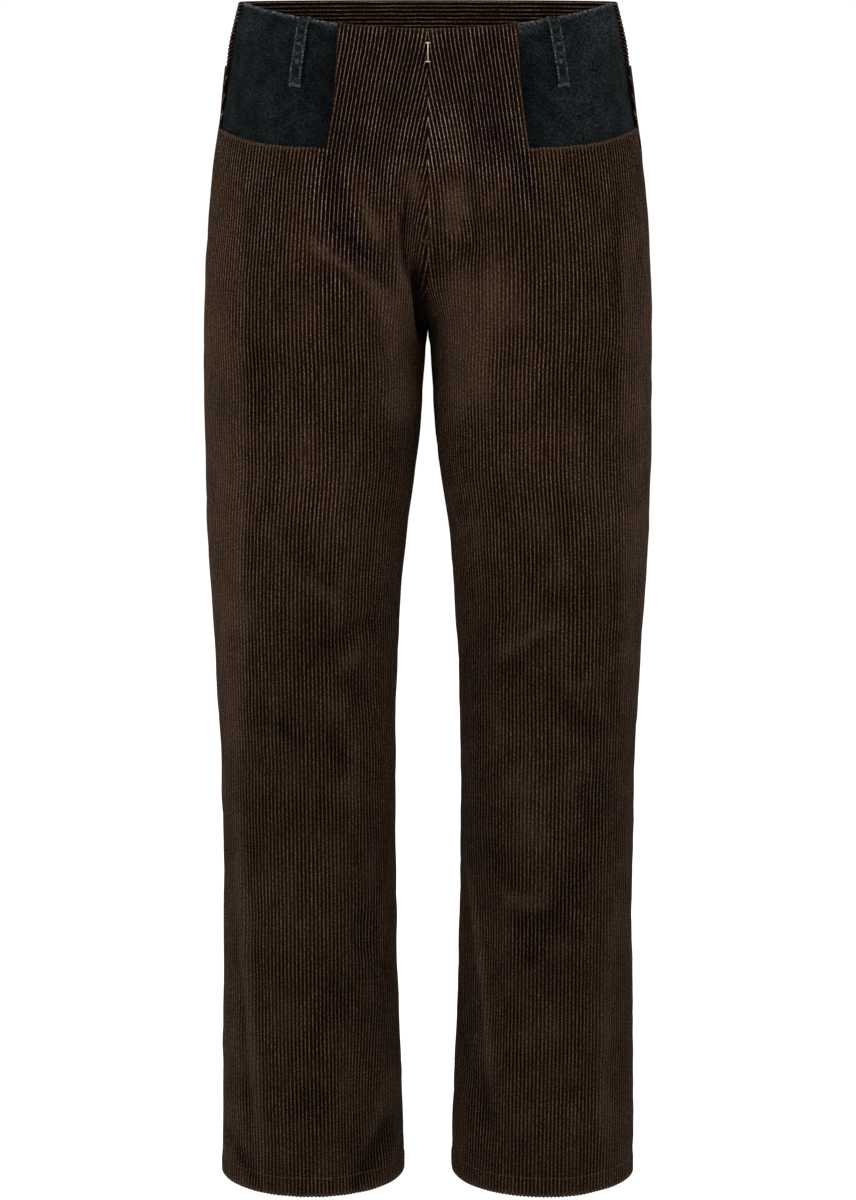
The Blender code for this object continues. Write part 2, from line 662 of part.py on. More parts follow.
def make_belt_loop(loop, material, collection):
    """A belt loop: a strap seated at its top and foot, and standing off the cloth between them."""
    face = FACES[loop.face]
    share = np.linspace(0, 1, LOOP_ROWS)
    stand_off = LOOP_GAP * np.clip(np.minimum(share, 1 - share) / LOOP_SEAT_SHARE, 0, 1) ** LOOP_RISE_POWER
    z = loop.z_top + (loop.z_foot - loop.z_top) * share
    x = loop.x_top + (loop.x_foot - loop.x_top) * share
    layer = loop.layer_top + (loop.layer_foot - loop.layer_top) * share
    middle = on_form(face, z, along_at_x(face, z, x))
    beside = on_form(face, z, along_at_x(face, z, x + 1)) - middle
    beside /= np.linalg.norm(beside, axis=1, keepdims=True)
    outward = np.cross(beside, (0, 0, 1)) * -face.sign
    seat = LAYER_GAP + LOOP_THICKNESS / 2
    centre = middle + outward * (layer + seat + stand_off)[:, None]
    sag = LOOP_WIDTH**2 / 8 / HIP_BEND
    points = []
    for aside in (-0.5, 0.5):
        points.append(centre + beside * aside * LOOP_WIDTH + outward * sag)
    strap = np.stack(points, axis=1) * (loop.leg, 1, 1) * MM
    faces = [(2 * i, 2 * i + 1, 2 * i + 3, 2 * i + 2) for i in range(LOOP_ROWS - 1)]
    mesh = bpy.data.meshes.new(loop.name)
    mesh.from_pydata(strap.reshape(-1, 3).tolist(), [], faces)
    made = add_object(loop.name, mesh, material, collection)
    thick = made.modifiers.new("Thickness", "SOLIDIFY")
    thick.thickness = LOOP_THICKNESS * MM
    thick.offset = 0.0
    thick.use_even_offset = True
    return made


def main():
    """Build every piece of the trousers."""
    clear_scene()
    collection = bpy.data.collections.new("Corduroy trousers")
    bpy.context.scene.collection.children.link(collection)
    corduroy = make_material("brown corduroy", BROWN, 0.9)
    lining_side = make_material("brown corduroy strip", BROWN_INSIDE, 0.9)
    denim = make_material("black denim", BLACK, 0.85)
    metal = make_material("pale gold metal", PALE_GOLD, 0.3, 1.0)
    for side, leg in (("left", 1), ("right", -1)):
        make_front(f"front_{side}", leg, corduroy, collection)
        make_back(f"back_{side}", leg, corduroy, collection)
        make_hip_panel(f"hip_panel_{side}", leg, denim, collection)
    make_waistband("back_waistband", corduroy, collection)
    make_fly_shield("fly_shield", lining_side, collection)
    make_fly_bar("fly_bar", metal, collection)
    for loop in LOOPS:
        make_belt_loop(loop, denim, collection)


main()
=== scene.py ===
"""Looks of the straight-leg corduroy trousers with black denim hip panels.

Every cloth piece is a thin closed shell on the same form as its solid: a leg section that changes with
height and is cut by the middle plane above the crotch. A place on the cloth is (height, distance along the
cloth from the grain line), so a wale keeps its distance all the way down and ends where a seam cuts it.
Sizes inside the classes are in millimetres, and the meshes are in metres.
"""

import logging
import math
from dataclasses import dataclass, field
from enum import Enum
from typing import ClassVar

import bmesh
import bpy
import numpy as np
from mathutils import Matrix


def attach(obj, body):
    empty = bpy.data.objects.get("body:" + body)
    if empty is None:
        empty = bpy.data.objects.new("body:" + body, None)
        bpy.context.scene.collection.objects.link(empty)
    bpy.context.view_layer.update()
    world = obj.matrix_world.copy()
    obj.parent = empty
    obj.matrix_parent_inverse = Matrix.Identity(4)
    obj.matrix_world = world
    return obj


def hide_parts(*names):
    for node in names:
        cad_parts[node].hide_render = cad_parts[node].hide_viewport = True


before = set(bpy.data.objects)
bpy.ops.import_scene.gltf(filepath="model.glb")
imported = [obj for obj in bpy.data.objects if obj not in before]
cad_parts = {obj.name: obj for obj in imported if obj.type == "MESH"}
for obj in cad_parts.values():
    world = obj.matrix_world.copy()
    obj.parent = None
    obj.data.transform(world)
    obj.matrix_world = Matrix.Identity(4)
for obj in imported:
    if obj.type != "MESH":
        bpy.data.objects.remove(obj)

Array = np.ndarray
Object = bpy.types.Object
Socket = bpy.types.NodeSocket
Colour = tuple[float, float, float]

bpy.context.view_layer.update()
MM = 0.001
LOG = logging.getLogger("trousers")

WALL = 1.8  # thickness of the corduroy
DENIM_WALL = 1.5  # thickness of the denim
SEAM_GAP = 0.3  # between two pieces that are sewn together
SLANT = 0.6  # how far a front's inner side edge stands back, and a back's reaches on
LAYER_GAP = 0.3  # between a belt loop's ends and the cloth under them
PITCH = 3.45  # from one wale to the next
RIM_SIDE = 31.0  # height of the waist edge at the sides and the back
RIM_DROP = 20.3  # how far that edge dips at the centre front
RIM_REACH = 160.0  # from the middle to where the dip starts
WAISTBAND_FOOT = -23.0  # height of the back waistband's lower edge
MOUTH_LEVEL = -86.0  # height of the pocket mouths at their inner ends
HIP_TALL = 102.0  # about how tall a hip panel's upright edge is
CROTCH = -242.0  # height at which the legs part
HEM = -1016.0  # height of the hems
HEM_STITCH = 17.0  # from a hem up to its line of stitches
# heights over the hem of the rows that carry its stitches and its rolled edge
HEM_ROWS = (21.0, 18.6, 17.8, 17.0, 16.2, 15.4, 12.0, 8.0, 4.5, 2.6, 1.5, 0.8, 0.3, 0.0)
HIP_LAYER = -(WALL + 0.8)  # lift of the outer face of the hip panels and the fly shield
BACK_PROUD = 1.5  # how far the backs stand out from the form at their tops
FAR = 99.0  # a distance past the reach of every edge and stitch
SAME = 1e-6  # what two heights or distances may differ by and still count as one


class Half(Enum):
    """The front or the back of the trousers."""

    FRONT = "front"
    BACK = "back"

    @property
    def sign(self) -> float:
        """-1 where the half faces -Y, 1 where it faces +Y."""
        return -1.0 if self is Half.FRONT else 1.0

    @property
    def other(self) -> "Half":
        """The opposite half."""
        return Half.BACK if self is Half.FRONT else Half.FRONT


@dataclass(frozen=True)
class Section:
    """A level section of one leg's half of the form, as in the solids."""

    z: float
    outer: float
    centre: float
    inner: float
    front: float
    back: float
    fullness: float
    front_grain: float
    back_grain: float
    side_seam: float


SECTIONS = (
    Section(60, 152.0, 0, -152, 94, 90, 2.2, 84, 84, 20),
    Section(31, 160.5, 0, -160, 97, 95, 2.2, 86, 84, 20),
    Section(0, 168.2, 10, -156, 102, 103, 2.2, 88, 86, 20),
    Section(-23, 171.6, 18, -152, 105, 108, 2.2, 90, 88, 20),
    Section(-50, 175.6, 27, -148, 108, 114, 2.2, 92, 90, 19),
    Section(-86, 181.4, 40, -140, 111, 122, 2.2, 95, 94, 18),
    Section(-137, 187.2, 60, -112, 114, 130, 2.25, 99, 99, 17),
    Section(-171, 190.2, 77, -72, 114, 131, 2.3, 101, 102, 16),
    Section(-200, 191.6, 89, -30, 113, 129, 2.4, 102, 103, 16),
    Section(-223, 192.6, 95, -8, 112, 125, 2.45, 102, 103, 15),
    Section(-242, 193.2, 98, 0.9, 110, 120, 2.45, 102, 102, 15),
    Section(-275, 194.0, 99, 2.6, 106, 113, 2.4, 101, 100, 14),
    Section(-345, 194.4, 101, 7.9, 99, 103, 2.3, 101, 101, 13),
    Section(-416, 193.6, 105.5, 17.6, 91, 93, 2.2, 105.5, 105.5, 12),
    Section(-488, 190.4, 107.6, 24.6, 84, 84, 2.2, 107.6, 107.6, 12),
    Section(-560, 186.9, 107.2, 27.6, 78, 78, 2.15, 107.2, 107.2, 11),
    Section(-640, 183.8, 106.6, 29.4, 75, 75, 2.1, 106.6, 106.6, 10),
    Section(-740, 182.9, 106.0, 29.0, 73, 73, 2.05, 106.0, 106.0, 10),
    Section(-857, 185.0, 105.9, 26.7, 72, 72, 2.0, 105.9, 105.9, 9),
    Section(-953, 186.7, 105.0, 23.2, 73, 72, 2.0, 105.0, 105.0, 8),
    Section(-1016, 187.0, 104.4, 21.8, 75, 74, 2.0, 104.4, 104.4, 8),
    Section(-1046, 187.0, 104.4, 21.8, 75, 74, 2.0, 104.4, 104.4, 8),
)


def smooth(value: Array, low: float, high: float) -> Array:
    """0 at low, 1 at high, and t * t * (3 - 2 t) between, for either order of low and high.

    Args:
        value: Numbers to map.
        low: Where the result is 0.
        high: Where the result is 1.

    Returns:
        The mapped numbers.
    """
    t = np.clip((np.asarray(value, float) - low) / (high - low), 0.0, 1.0)
    return t * t * (3.0 - 2.0 * t)


def ripple(a: Array, b: Array, seed: int, waves: int = 7) -> Array:
    """An even, patternless wave between about -1 and 1: the sum of sines in seeded directions.

    Args:
        a: First coordinate, in wavelengths.
        b: Second coordinate, in wavelengths.
        seed: Which wave.
        waves: How many sines are added.

    Returns:
        The height of the wave at each place.
    """
    draw = np.random.default_rng(seed)
    total = np.zeros(np.broadcast(a, b).shape)
    for _ in range(waves):
        turn, phase = draw.uniform(0, 2 * math.pi, 2)
        size = draw.uniform(0.6, 1.5)
        total += np.sin(2 * math.pi * size * (a * math.cos(turn) + b * math.sin(turn)) + phase)
    return total / math.sqrt(waves * 1.3)


def bell(value: Array, width: float | Array) -> Array:
    """exp(-(value / width)^2): 1 at 0, and near 0 from two widths on."""
    return np.exp(-((value / width) ** 2))


def wale_top(count: Array) -> Array:
    """|cos(pi * count)|^0.75: 1 along the top of each wale, and 0 in the narrow grooves between them."""
    return np.abs(np.cos(np.pi * count)) ** 0.75


def unit(value: Array) -> Array:
    """Directions of length 1."""
    return value / np.maximum(np.linalg.norm(value, axis=-1, keepdims=True), 1e-9)


def dome(value: Array, power: int = 2) -> Array:
    """sqrt(1 - |value|^power): 1 at 0 and 0 from 1 on, as a rounded end falls away."""
    return np.sqrt(np.clip(1 - np.abs(value) ** power, 0, 1))


# ---------------------------------------- the form


@dataclass
class Form:
    """The body of the trousers, kept as tables of place by height and distance along the cloth.

    A section is two quarter-ovals a side: x = centre - reach * cos^p and y = depth * sin^p, with
    p = 2 / fullness, the angle 0 at the innermost point and a half turn at the outermost one. Section sizes
    run along a cubic through SECTIONS that never overshoots.
    """

    low: float = -1050.0
    high: float = 62.0
    level_step: float = 2.0
    along_low: float = -262.0
    along_high: float = 302.0
    along_step: float = 0.5
    reach_step: float = 0.5
    quarter_steps: int = 150
    steps_before: int = 45
    steps_after: int = 95
    tables: dict = field(default_factory=dict, init=False, repr=False)

    def __post_init__(self) -> None:
        """Measure both halves at every level."""
        self.levels = np.arange(self.low, self.high + self.level_step, self.level_step)
        self.alongs = np.arange(self.along_low, self.along_high, self.along_step)
        self.reaches = np.arange(0.0, 200.0, self.reach_step)
        for half in Half:
            self.tables[half] = self._measure(half)

    def _size(self, name: str, z: Array) -> Array:
        """A section size at any height, by a monotone cubic.

        Args:
            name: A column of the section table.
            z: Heights.

        Returns:
            The size at each height.
        """
        rows = sorted(SECTIONS, key=lambda row: row.z)
        heights = np.array([row.z for row in rows], float)
        values = np.array([getattr(row, name) for row in rows], float)
        gaps = np.diff(heights)
        rises = np.diff(values) / gaps
        same_way = rises[1:] * rises[:-1] > 0
        total = np.where(same_way, rises[1:] + rises[:-1], 1.0)
        middle = np.where(same_way, 2 * rises[1:] * rises[:-1] / total, 0.0)
        slopes = np.concatenate([rises[:1], middle, rises[-1:]])
        row = np.clip(np.searchsorted(heights, z) - 1, 0, len(gaps) - 1)
        t = (z - heights[row]) / gaps[row]
        return (
            values[row] * (1 + 2 * t) * (1 - t) ** 2
            + values[row + 1] * t**2 * (3 - 2 * t)
            + gaps[row] * slopes[row] * t * (1 - t) ** 2
            - gaps[row] * slopes[row + 1] * t**2 * (1 - t)
        )

    def _measure(self, half: Half) -> dict[str, Array]:
        """Places, seams and distances at every level of one half.

        Args:
            half: Front or back.

        Returns:
            The tables, by name.
        """
        steps = np.arange(-self.steps_before, 2 * self.quarter_steps + self.steps_after)
        angles = steps * np.pi / 2 / self.quarter_steps
        facing = (steps >= 0) & (steps <= 2 * self.quarter_steps)
        z = self.levels[:, None]
        cosine = np.cos(angles)
        sine = np.sin(angles)
        centre = self._size("centre", z)
        reach = np.where(cosine > 0, centre - self._size("inner", z), self._size("outer", z) - centre)
        depth = np.where(sine > 0, self._size(half.value, z), self._size(half.other.value, z))
        power = 2 / self._size("fullness", z)
        x = centre - reach * np.sign(cosine) * np.abs(cosine) ** power
        y = half.sign * depth * np.sign(sine) * np.abs(sine) ** power
        walked = np.cumsum(np.hypot(np.diff(x, axis=1), np.diff(y, axis=1)), axis=1)
        along = np.concatenate([np.zeros_like(z), walked], axis=1)
        grain = self._size(f"{half.value}_grain", self.levels)
        rows = range(len(self.levels))
        start = np.array([np.interp(grain[i], x[i, facing], along[i, facing]) for i in rows])
        along -= start[:, None]
        clear = SEAM_GAP / 2
        inside = np.array([np.interp(clear, x[i, facing], along[i, facing]) for i in rows])
        inside += np.where(x[:, facing][:, 0] > clear, clear, 0.0)
        side = np.array([np.interp(np.pi, angles, along[i]) for i in rows])
        side += half.sign * self._size("side_seam", self.levels) - clear
        xs = [np.interp(self.alongs, along[i], x[i]) for i in rows]
        ys = [np.interp(self.alongs, along[i], y[i]) for i in rows]
        back = np.array([np.interp(self.reaches, x[i, facing], along[i, facing]) for i in rows])
        return {"place": np.stack([xs, ys], axis=-1), "inside": inside, "outside": side, "along": back}

    def _look_up(self, table: Array, z: Array, column: Array) -> Array:
        """Bilinear reading of a table whose rows are the levels.

        Args:
            table: Values by level and column.
            z: Heights.
            column: Column positions, in columns.

        Returns:
            The value at each place.
        """
        row = np.clip((z - self.low) / self.level_step, 0, len(self.levels) - 1.001)
        column = np.clip(column, 0, table.shape[1] - 1.001)
        i = row.astype(int)
        k = column.astype(int)
        extra = (...,) + (None,) * (table.ndim - 2)
        up = (row - i)[extra]
        right = (column - k)[extra]
        lower = table[i, k] * (1 - right) + table[i, k + 1] * right
        upper = table[i + 1, k] * (1 - right) + table[i + 1, k + 1] * right
        return lower * (1 - up) + upper * up

    def place(self, half: Half, z: Array, u: Array) -> Array:
        """Points of the form at heights and distances along the cloth.

        Args:
            half: Front or back.
            z: Heights.
            u: Distances along the cloth.

        Returns:
            Points, with x, y and z last.
        """
        z, u = np.broadcast_arrays(np.asarray(z, float), np.asarray(u, float))
        flat = self._look_up(self.tables[half]["place"], z, (u - self.along_low) / self.along_step)
        return np.concatenate([flat, z[..., None]], axis=-1)

    def normal(self, half: Half, z: Array, u: Array) -> Array:
        """Outward directions of the form, from the cross product of its two slopes.

        Args:
            half: Front or back.
            z: Heights.
            u: Distances along the cloth.

        Returns:
            Unit directions.
        """
        across = self.place(half, z, u + 1.5) - self.place(half, z, u - 1.5)
        upward = self.place(half, z + 4.0, u) - self.place(half, z - 4.0, u)
        return unit(np.cross(across, upward) * -half.sign)

    def seam(self, half: Half, which: str, z: Array) -> Array:
        """Distance along the cloth of the inside or the outside seam, read by height."""
        return np.interp(z, self.levels, self.tables[half][which])

    def along_at(self, half: Half, z: Array, x: Array) -> Array:
        """Distance along the cloth at a distance from the middle plane, read by height."""
        z, x = np.broadcast_arrays(np.asarray(z, float), np.asarray(x, float))
        return self._look_up(self.tables[half]["along"], z, x / self.reach_step)


FORM = Form()


def rim_height(x: Array) -> Array:
    """Height of the front waist edge: a parabola that dips by RIM_DROP at the middle."""
    return RIM_SIDE - RIM_DROP * (1 - np.minimum(np.abs(x) / RIM_REACH, 1) ** 2)


def hip_edge(z: Array) -> Array:
    """Distance from the middle of the hip panel's upright edge: 75 at the top, 8.5 more at the foot."""
    return 75.0 + 8.5 * ((MOUTH_LEVEL + HIP_TALL - z) / HIP_TALL) ** 2


def mouth_height(x: Array) -> Array:
    """Height of the pocket mouth, which rises by 11 to the side seam as a 2.5th power."""
    return MOUTH_LEVEL + 11.0 * np.clip((x - 95.0) / 81.0, 0, None) ** 2.5


def edge_of_hip(z: Array) -> Array:
    """Distance along the cloth of the hip panel's upright edge."""
    return FORM.along_at(Half.FRONT, z, hip_edge(z))


# ---------------------------------------- folds, nap and the grain's lean


@dataclass(frozen=True)
class Fold:
    """A soft ridge (lift above 0) or trough along a bowed line, with the pile lying over or standing on it,
    and with painted shade along it where its shade is below 0 and a painted highlight where it is above 0.

    Across the line it is exp(-(d / w)^2), with its own width w on the inner (or upper) and the outer side.
    Along the line it rises smoothly over the first 30% and falls over the last.
    """

    half: Half
    leg: int
    x_from: float
    z_from: float
    x_to: float
    z_to: float
    bow: float
    inner: float
    outer: float
    lift: float
    crisp: float = 0.0
    # painted shade below 0 and painted highlight above 0, along the fold
    shade: float = 0.0

    def share(self, x: Array, z: Array) -> Array:
        """How much of the fold is at each place.

        Args:
            x: Distances from the middle plane.
            z: Heights.

        Returns:
            Shares from 0 to 1.
        """
        run_x = self.x_to - self.x_from
        run_z = self.z_to - self.z_from
        length = math.hypot(run_x, run_z)
        along = ((x - self.x_from) * run_x + (z - self.z_from) * run_z) / length**2
        arch = np.clip(4 * along * (1 - along), 0, 1)
        aside = ((x - self.x_from) * run_z - (z - self.z_from) * run_x) / length - self.bow * arch
        width = np.where(aside > 0, self.inner, self.outer)
        ends = smooth(along, 0.0, 0.3) * smooth(along, 1.0, 0.7)
        return ends * bell(aside, width)


EYE_AHEAD, EYE_LEVEL = 2800.0, 79.0


def sighted(half: Half, points: Array) -> tuple[Array, Array]:
    """Where places on the cloth stand against the middle plane, y = 0, which is how the folds are placed.

    A front's place is carried there from the eye, so by EYE_AHEAD / (EYE_AHEAD + y), away from the middle and
    from the eye's level. The folds of the backs are placed on the cloth itself.

    Args:
        half: Front or back.
        points: Places on the cloth, in millimetres.

    Returns:
        Distances from the middle plane x = 0, and heights.
    """
    if half is Half.BACK:
        return points[..., 0], points[..., 2]
    share = EYE_AHEAD / (EYE_AHEAD + points[..., 1])
    return points[..., 0] * share, EYE_LEVEL + (points[..., 2] - EYE_LEVEL) * share


F, B = Half.FRONT, Half.BACK
# the last number of each fold is painted shade along it (below 0) or a painted highlight (above 0)
FOLDS = (
    # the wearer's right front: drag lines from the pocket corner, the long diagonal and the crotch
    Fold(F, -1, 80, -74, 26, -198, -5, 8, 7, 1.8, -0.22, 0.14),
    Fold(F, -1, 66, -80, 10, -172, 3, 6, 4, -1.3, 0.10, -0.06),
    Fold(F, -1, 88, -36, 56, -246, -2, 15, 20, -1.2, 0.24, -0.10),
    Fold(F, -1, 112, -160, 22, -228, 0, 3, 9, 3.2, -0.46, 0.20),
    Fold(F, -1, 94, -148, 34, -202, 0, 6, 4, -2.2, 0.12, -0.24),
    Fold(F, -1, 34, -196, 20, -345, 0, 13, 16, 0.6, -0.22, 0.16),
    Fold(F, -1, 86, -184, 78, -275, 0, 9, 10, -1.0, 0.04, -0.08),
    Fold(F, -1, 46, -232, 38, -275, 0, 8, 8, -0.9, 0.05, -0.16),
    Fold(F, -1, 146, -245, 150, -340, 0, 9, 7, -0.6, 0.05, -0.20),
    Fold(F, -1, 139, -88, 132, -205, 0, 14, 14, 0.0, 0.05, -0.10),
    Fold(F, -1, 112, -160, 122, -200, 0, 12, 12, 0.6, -0.05, 0.12),
    Fold(F, -1, 7, -104, 9, -226, -13, 1.7, 2.6, -2.2, -0.05, -0.45),
    Fold(F, -1, 28, -126, 20, -222, -3, 4, 5, 1.7, -0.15, 0.14),
    Fold(F, -1, 14, -98, 12, -146, 0, 8, 7, 0.2, -0.28, 0.10),
    # the recess beside the crotch, darkened by a painted shadow
    Fold(F, -1, 13, -180, 3, -266, -1, 8, 3.4, -6.5, -0.15, -0.86),
    Fold(F, -1, 19, -186, 9, -268, -1, 3, 5, 1.5, -0.10, 0.10),
    # its knee
    Fold(F, -1, 83, -380, 79, -456, 0, 16, 16, 0.8, 0.0, 0.06),
    Fold(F, -1, 146, -388, 118, -438, 0, 8, 8, -1.3, 0.0, -0.14),
    Fold(F, -1, 121, -436, 79, -480, -3, 6, 8, -1.8, 0.0, -0.16),
    Fold(F, -1, 108, -470, 74, -490, -2, 6, 6, 1.5, -0.10, 0.12),
    Fold(F, -1, 144, -490, 82, -513, -3, 6, 7, -1.3, 0.0, -0.12),
    Fold(F, -1, 108, -544, 32, -502, 7, 6, 9, -2.4, 0.05, -0.24),
    Fold(F, -1, 84, -562, 52, -532, 4, 7, 7, 1.6, -0.10, 0.12),
    Fold(F, -1, 78, -548, 50, -590, 0, 7, 7, -1.5, 0.0, -0.18),
    Fold(F, -1, 96, -574, 66, -598, 0, 9, 9, 1.0, 0.0, 0.10),
    Fold(F, -1, 138, -592, 108, -626, 0, 7, 7, -1.4, 0.05, -0.20),
    Fold(F, -1, 88, -600, 72, -656, 0, 8, 9, -1.6, 0.10, -0.20),
    Fold(F, -1, 160, -630, 105, -647, -2, 8, 8, -1.5, 0.0, -0.14),
    Fold(F, -1, 116, -648, 80, -676, 0, 9, 9, -0.9, 0.0, -0.10),
    Fold(F, -1, 72, -620, 66, -706, 0, 9, 9, 0.9, -0.05, 0.08),
    # its shin
    Fold(F, -1, 62, -700, 63, -736, 0, 7, 7, -0.9, 0.0, -0.13),
    Fold(F, -1, 50, -698, 51, -758, 0, 7, 7, 0.9, -0.05, 0.10),
    Fold(F, -1, 59, -768, 55, -820, 0, 7, 7, -1.3, 0.10, -0.18),
    Fold(F, -1, 68, -822, 114, -924, 0, 12, 12, -1.7, 0.10, -0.18),
    Fold(F, -1, 100, -930, 121, -975, 0, 12, 12, -1.1, 0.10, -0.16),
    Fold(F, -1, 32, -958, 72, -1046, 3, 8, 8, -2.3, 0.14, -0.34),
    Fold(F, -1, 24, -900, 64, -1010, 5, 8, 8, 1.4, -0.12, 0.10),
    Fold(F, -1, 188, -974, 164, -1018, 0, 4, 4, -1.2, 0.10, -0.22),
    Fold(F, -1, 176, -998, 150, -1040, 0, 5, 5, -1.3, 0.10, -0.22),
    Fold(F, -1, 96, -715, 91, -830, 0, 14, 14, 0.7, 0.0, 0.06),
    Fold(F, -1, 169, -650, 150, -1016, -4, 4, 4, 2.0, -0.20, 0.14),
    Fold(F, -1, 172, -800, 161, -1060, 2, 4, 4, -1.3, 0.0, -0.14),
    # the wearer's left front: the fly, the crotch and the thigh
    Fold(F, 1, 14, -112, 35, -186, 0, 13, 12, 0.3, -0.12, 0.14),
    Fold(F, 1, 12, -34, 30, -186, 0, 15, 15, 0.0, -0.13, 0.08),
    Fold(F, 1, 36, 0, 44, -190, 2, 2.4, 2.4, -0.5, 0.0, -0.16),
    Fold(F, 1, 44, -168, 4, -194, -5, 2.6, 3.4, -1.3, -0.10, -0.22),
    Fold(F, 1, 10, -148, 40, -153, 0, 2.6, 2.6, -1.5, 0.0, -0.24),
    Fold(F, 1, 8, -141, 37, -145, 0, 3.2, 3.0, 1.3, -0.10, 0.16),
    Fold(F, 1, 38, -150, 42, -174, 0, 3.0, 3.0, -1.2, 0.0, -0.20),
    Fold(F, 1, 2, -155, 35, -165, 2, 3.0, 3.0, 1.2, -0.10, 0.16),
    Fold(F, 1, 4, -168, 31, -176, 2, 2.6, 2.6, -1.1, 0.0, -0.17),
    Fold(F, 1, 4, -177, 28, -186, 2, 2.8, 2.8, 1.0, 0.0, 0.10),
    Fold(F, 1, 28, -146, 36, -182, 0, 5.0, 6.0, 0.0, 0.16, 0.0),
    Fold(F, 1, 1, -172, 10, -208, 0, 6, 6, -1.2, 0.0, -0.22),
    Fold(F, 1, 52, -158, 57, -240, 0, 6, 6, 0.9, -0.10, 0.09),
    Fold(F, 1, 22, -180, 32, -340, -3, 16, 22, 0.7, -0.22, 0.14),
    Fold(F, 1, 58, -186, 74, -260, 0, 16, 18, 0.5, -0.12, 0.05),
    Fold(F, 1, 82, -88, 92, -150, 0, 7, 8, -1.3, 0.14, -0.22),
    Fold(F, 1, 78, -92, 42, -154, -3, 5, 5, 1.1, -0.12, 0.08),
    Fold(F, 1, 72, -88, 76, -142, 0, 4, 5, -0.9, 0.05, -0.13),
    Fold(F, 1, 114, -100, 140, -132, 0, 12, 12, -0.6, 0.0, -0.10),
    Fold(F, 1, 162, -84, 163, -262, 0, 5, 5, -0.9, 0.0, -0.22),
    Fold(F, 1, 152, -254, 170, -322, 0, 9, 9, -1.0, 0.0, -0.13),
    Fold(F, 1, 54, -290, 100, -309, 0, 12, 12, 0.9, 0.0, 0.07),
    # its knee
    Fold(F, 1, 126, -390, 120, -452, 0, 9, 9, -1.3, 0.0, -0.14),
    Fold(F, 1, 82, -468, 110, -448, 0, 7, 7, -1.1, 0.0, -0.12),
    Fold(F, 1, 94, -472, 134, -450, 0, 6, 6, 1.1, 0.0, 0.08),
    Fold(F, 1, 94, -480, 146, -494, 3, 8, 8, -2.0, 0.0, -0.20),
    Fold(F, 1, 56, -507, 84, -496, 0, 7, 7, -1.1, 0.0, -0.12),
    Fold(F, 1, 52, -544, 122, -500, 2, 4, 5, 2.0, -0.12, 0.17),
    Fold(F, 1, 68, -560, 108, -520, 0, 8, 8, -2.0, 0.0, -0.20),
    Fold(F, 1, 94, -556, 120, -578, 0, 7, 7, -1.5, 0.0, -0.16),
    Fold(F, 1, 116, -574, 156, -552, 0, 7, 7, 1.3, -0.05, 0.12),
    Fold(F, 1, 106, -578, 156, -615, 0, 11, 11, -1.5, 0.05, -0.14),
    Fold(F, 1, 142, -576, 160, -596, 0, 6, 6, 0.8, 0.0, 0.10),
    Fold(F, 1, 152, -640, 137, -728, 0, 12, 12, -1.3, 0.10, -0.18),
    Fold(F, 1, 78, -624, 104, -736, 0, 14, 14, 1.1, -0.05, 0.10),
    # its shin
    Fold(F, 1, 56, -748, 122, -768, 8, 7, 8, 1.6, -0.15, 0.13),
    Fold(F, 1, 68, -778, 146, -790, 6, 10, 12, -1.8, 0.10, -0.22),
    Fold(F, 1, 150, -712, 98, -796, 0, 11, 11, -1.7, 0.10, -0.20),
    Fold(F, 1, 97, -784, 88, -828, 0, 12, 12, -1.3, 0.10, -0.14),
    Fold(F, 1, 29, -690, 57, -965, -5, 2.6, 3.6, 2.6, -0.16, 0.18),
    Fold(F, 1, 29, -806, 38, -956, 0, 7, 6, -1.5, 0.12, -0.10),
    Fold(F, 1, 48, -918, 57, -996, 0, 8, 8, -1.7, 0.05, -0.24),
    Fold(F, 1, 48, -696, 84, -766, 0, 9, 9, -1.3, 0.06, -0.20),
    Fold(F, 1, 174, -700, 158, -1040, 6, 5, 6, 1.4, -0.12, 0.10),
    # both backs: the seat, behind the knees and the calves
    Fold(B, 1, 6, -196, 124, -216, -8, 8, 10, -2.8, 0.05, -0.20),
    Fold(B, 1, 8, -214, 98, -246, -8, 7, 9, 2.0, -0.18, 0.14),
    Fold(B, 1, 6, -232, 86, -282, -8, 8, 10, -2.2, 0.05, -0.18),
    Fold(B, 1, 120, -120, 172, -262, 6, 10, 14, 1.4, -0.12, 0.10),
    Fold(B, 1, 60, -60, 100, -170, 4, 18, 22, 0.6, -0.16, 0.08),
    Fold(B, 1, 34, -496, 154, -470, -6, 8, 9, -2.6, 0.05, -0.22),
    Fold(B, 1, 40, -522, 144, -506, -5, 7, 8, 2.1, -0.12, 0.15),
    Fold(B, 1, 34, -558, 128, -540, -6, 9, 10, -2.0, 0.05, -0.18),
    Fold(B, 1, 60, -584, 84, -1080, 5, 9, 14, 2.5, -0.18, 0.14),
    Fold(B, 1, 88, -690, 118, -1070, 5, 11, 13, -1.5, 0.08, -0.16),
    Fold(B, 1, 140, -620, 152, -960, 4, 13, 13, 1.3, -0.06, 0.08),
    Fold(B, -1, 6, -190, 130, -208, -8, 9, 11, -3.0, 0.05, -0.20),
    Fold(B, -1, 10, -212, 106, -236, -8, 7, 9, 1.9, -0.18, 0.13),
    Fold(B, -1, 6, -236, 78, -292, -8, 8, 10, -2.0, 0.05, -0.17),
    Fold(B, -1, 126, -110, 178, -250, 6, 11, 14, 1.3, -0.12, 0.10),
    Fold(B, -1, 50, -70, 96, -180, 4, 18, 22, 0.6, -0.16, 0.08),
    Fold(B, -1, 32, -480, 148, -498, -6, 8, 10, -2.4, 0.05, -0.20),
    Fold(B, -1, 42, -508, 154, -522, -5, 8, 9, 1.9, -0.12, 0.14),
    Fold(B, -1, 36, -540, 122, -566, -6, 9, 11, -2.0, 0.05, -0.18),
    Fold(B, -1, 130, -600, 120, -1080, 5, 10, 14, 2.4, -0.18, 0.14),
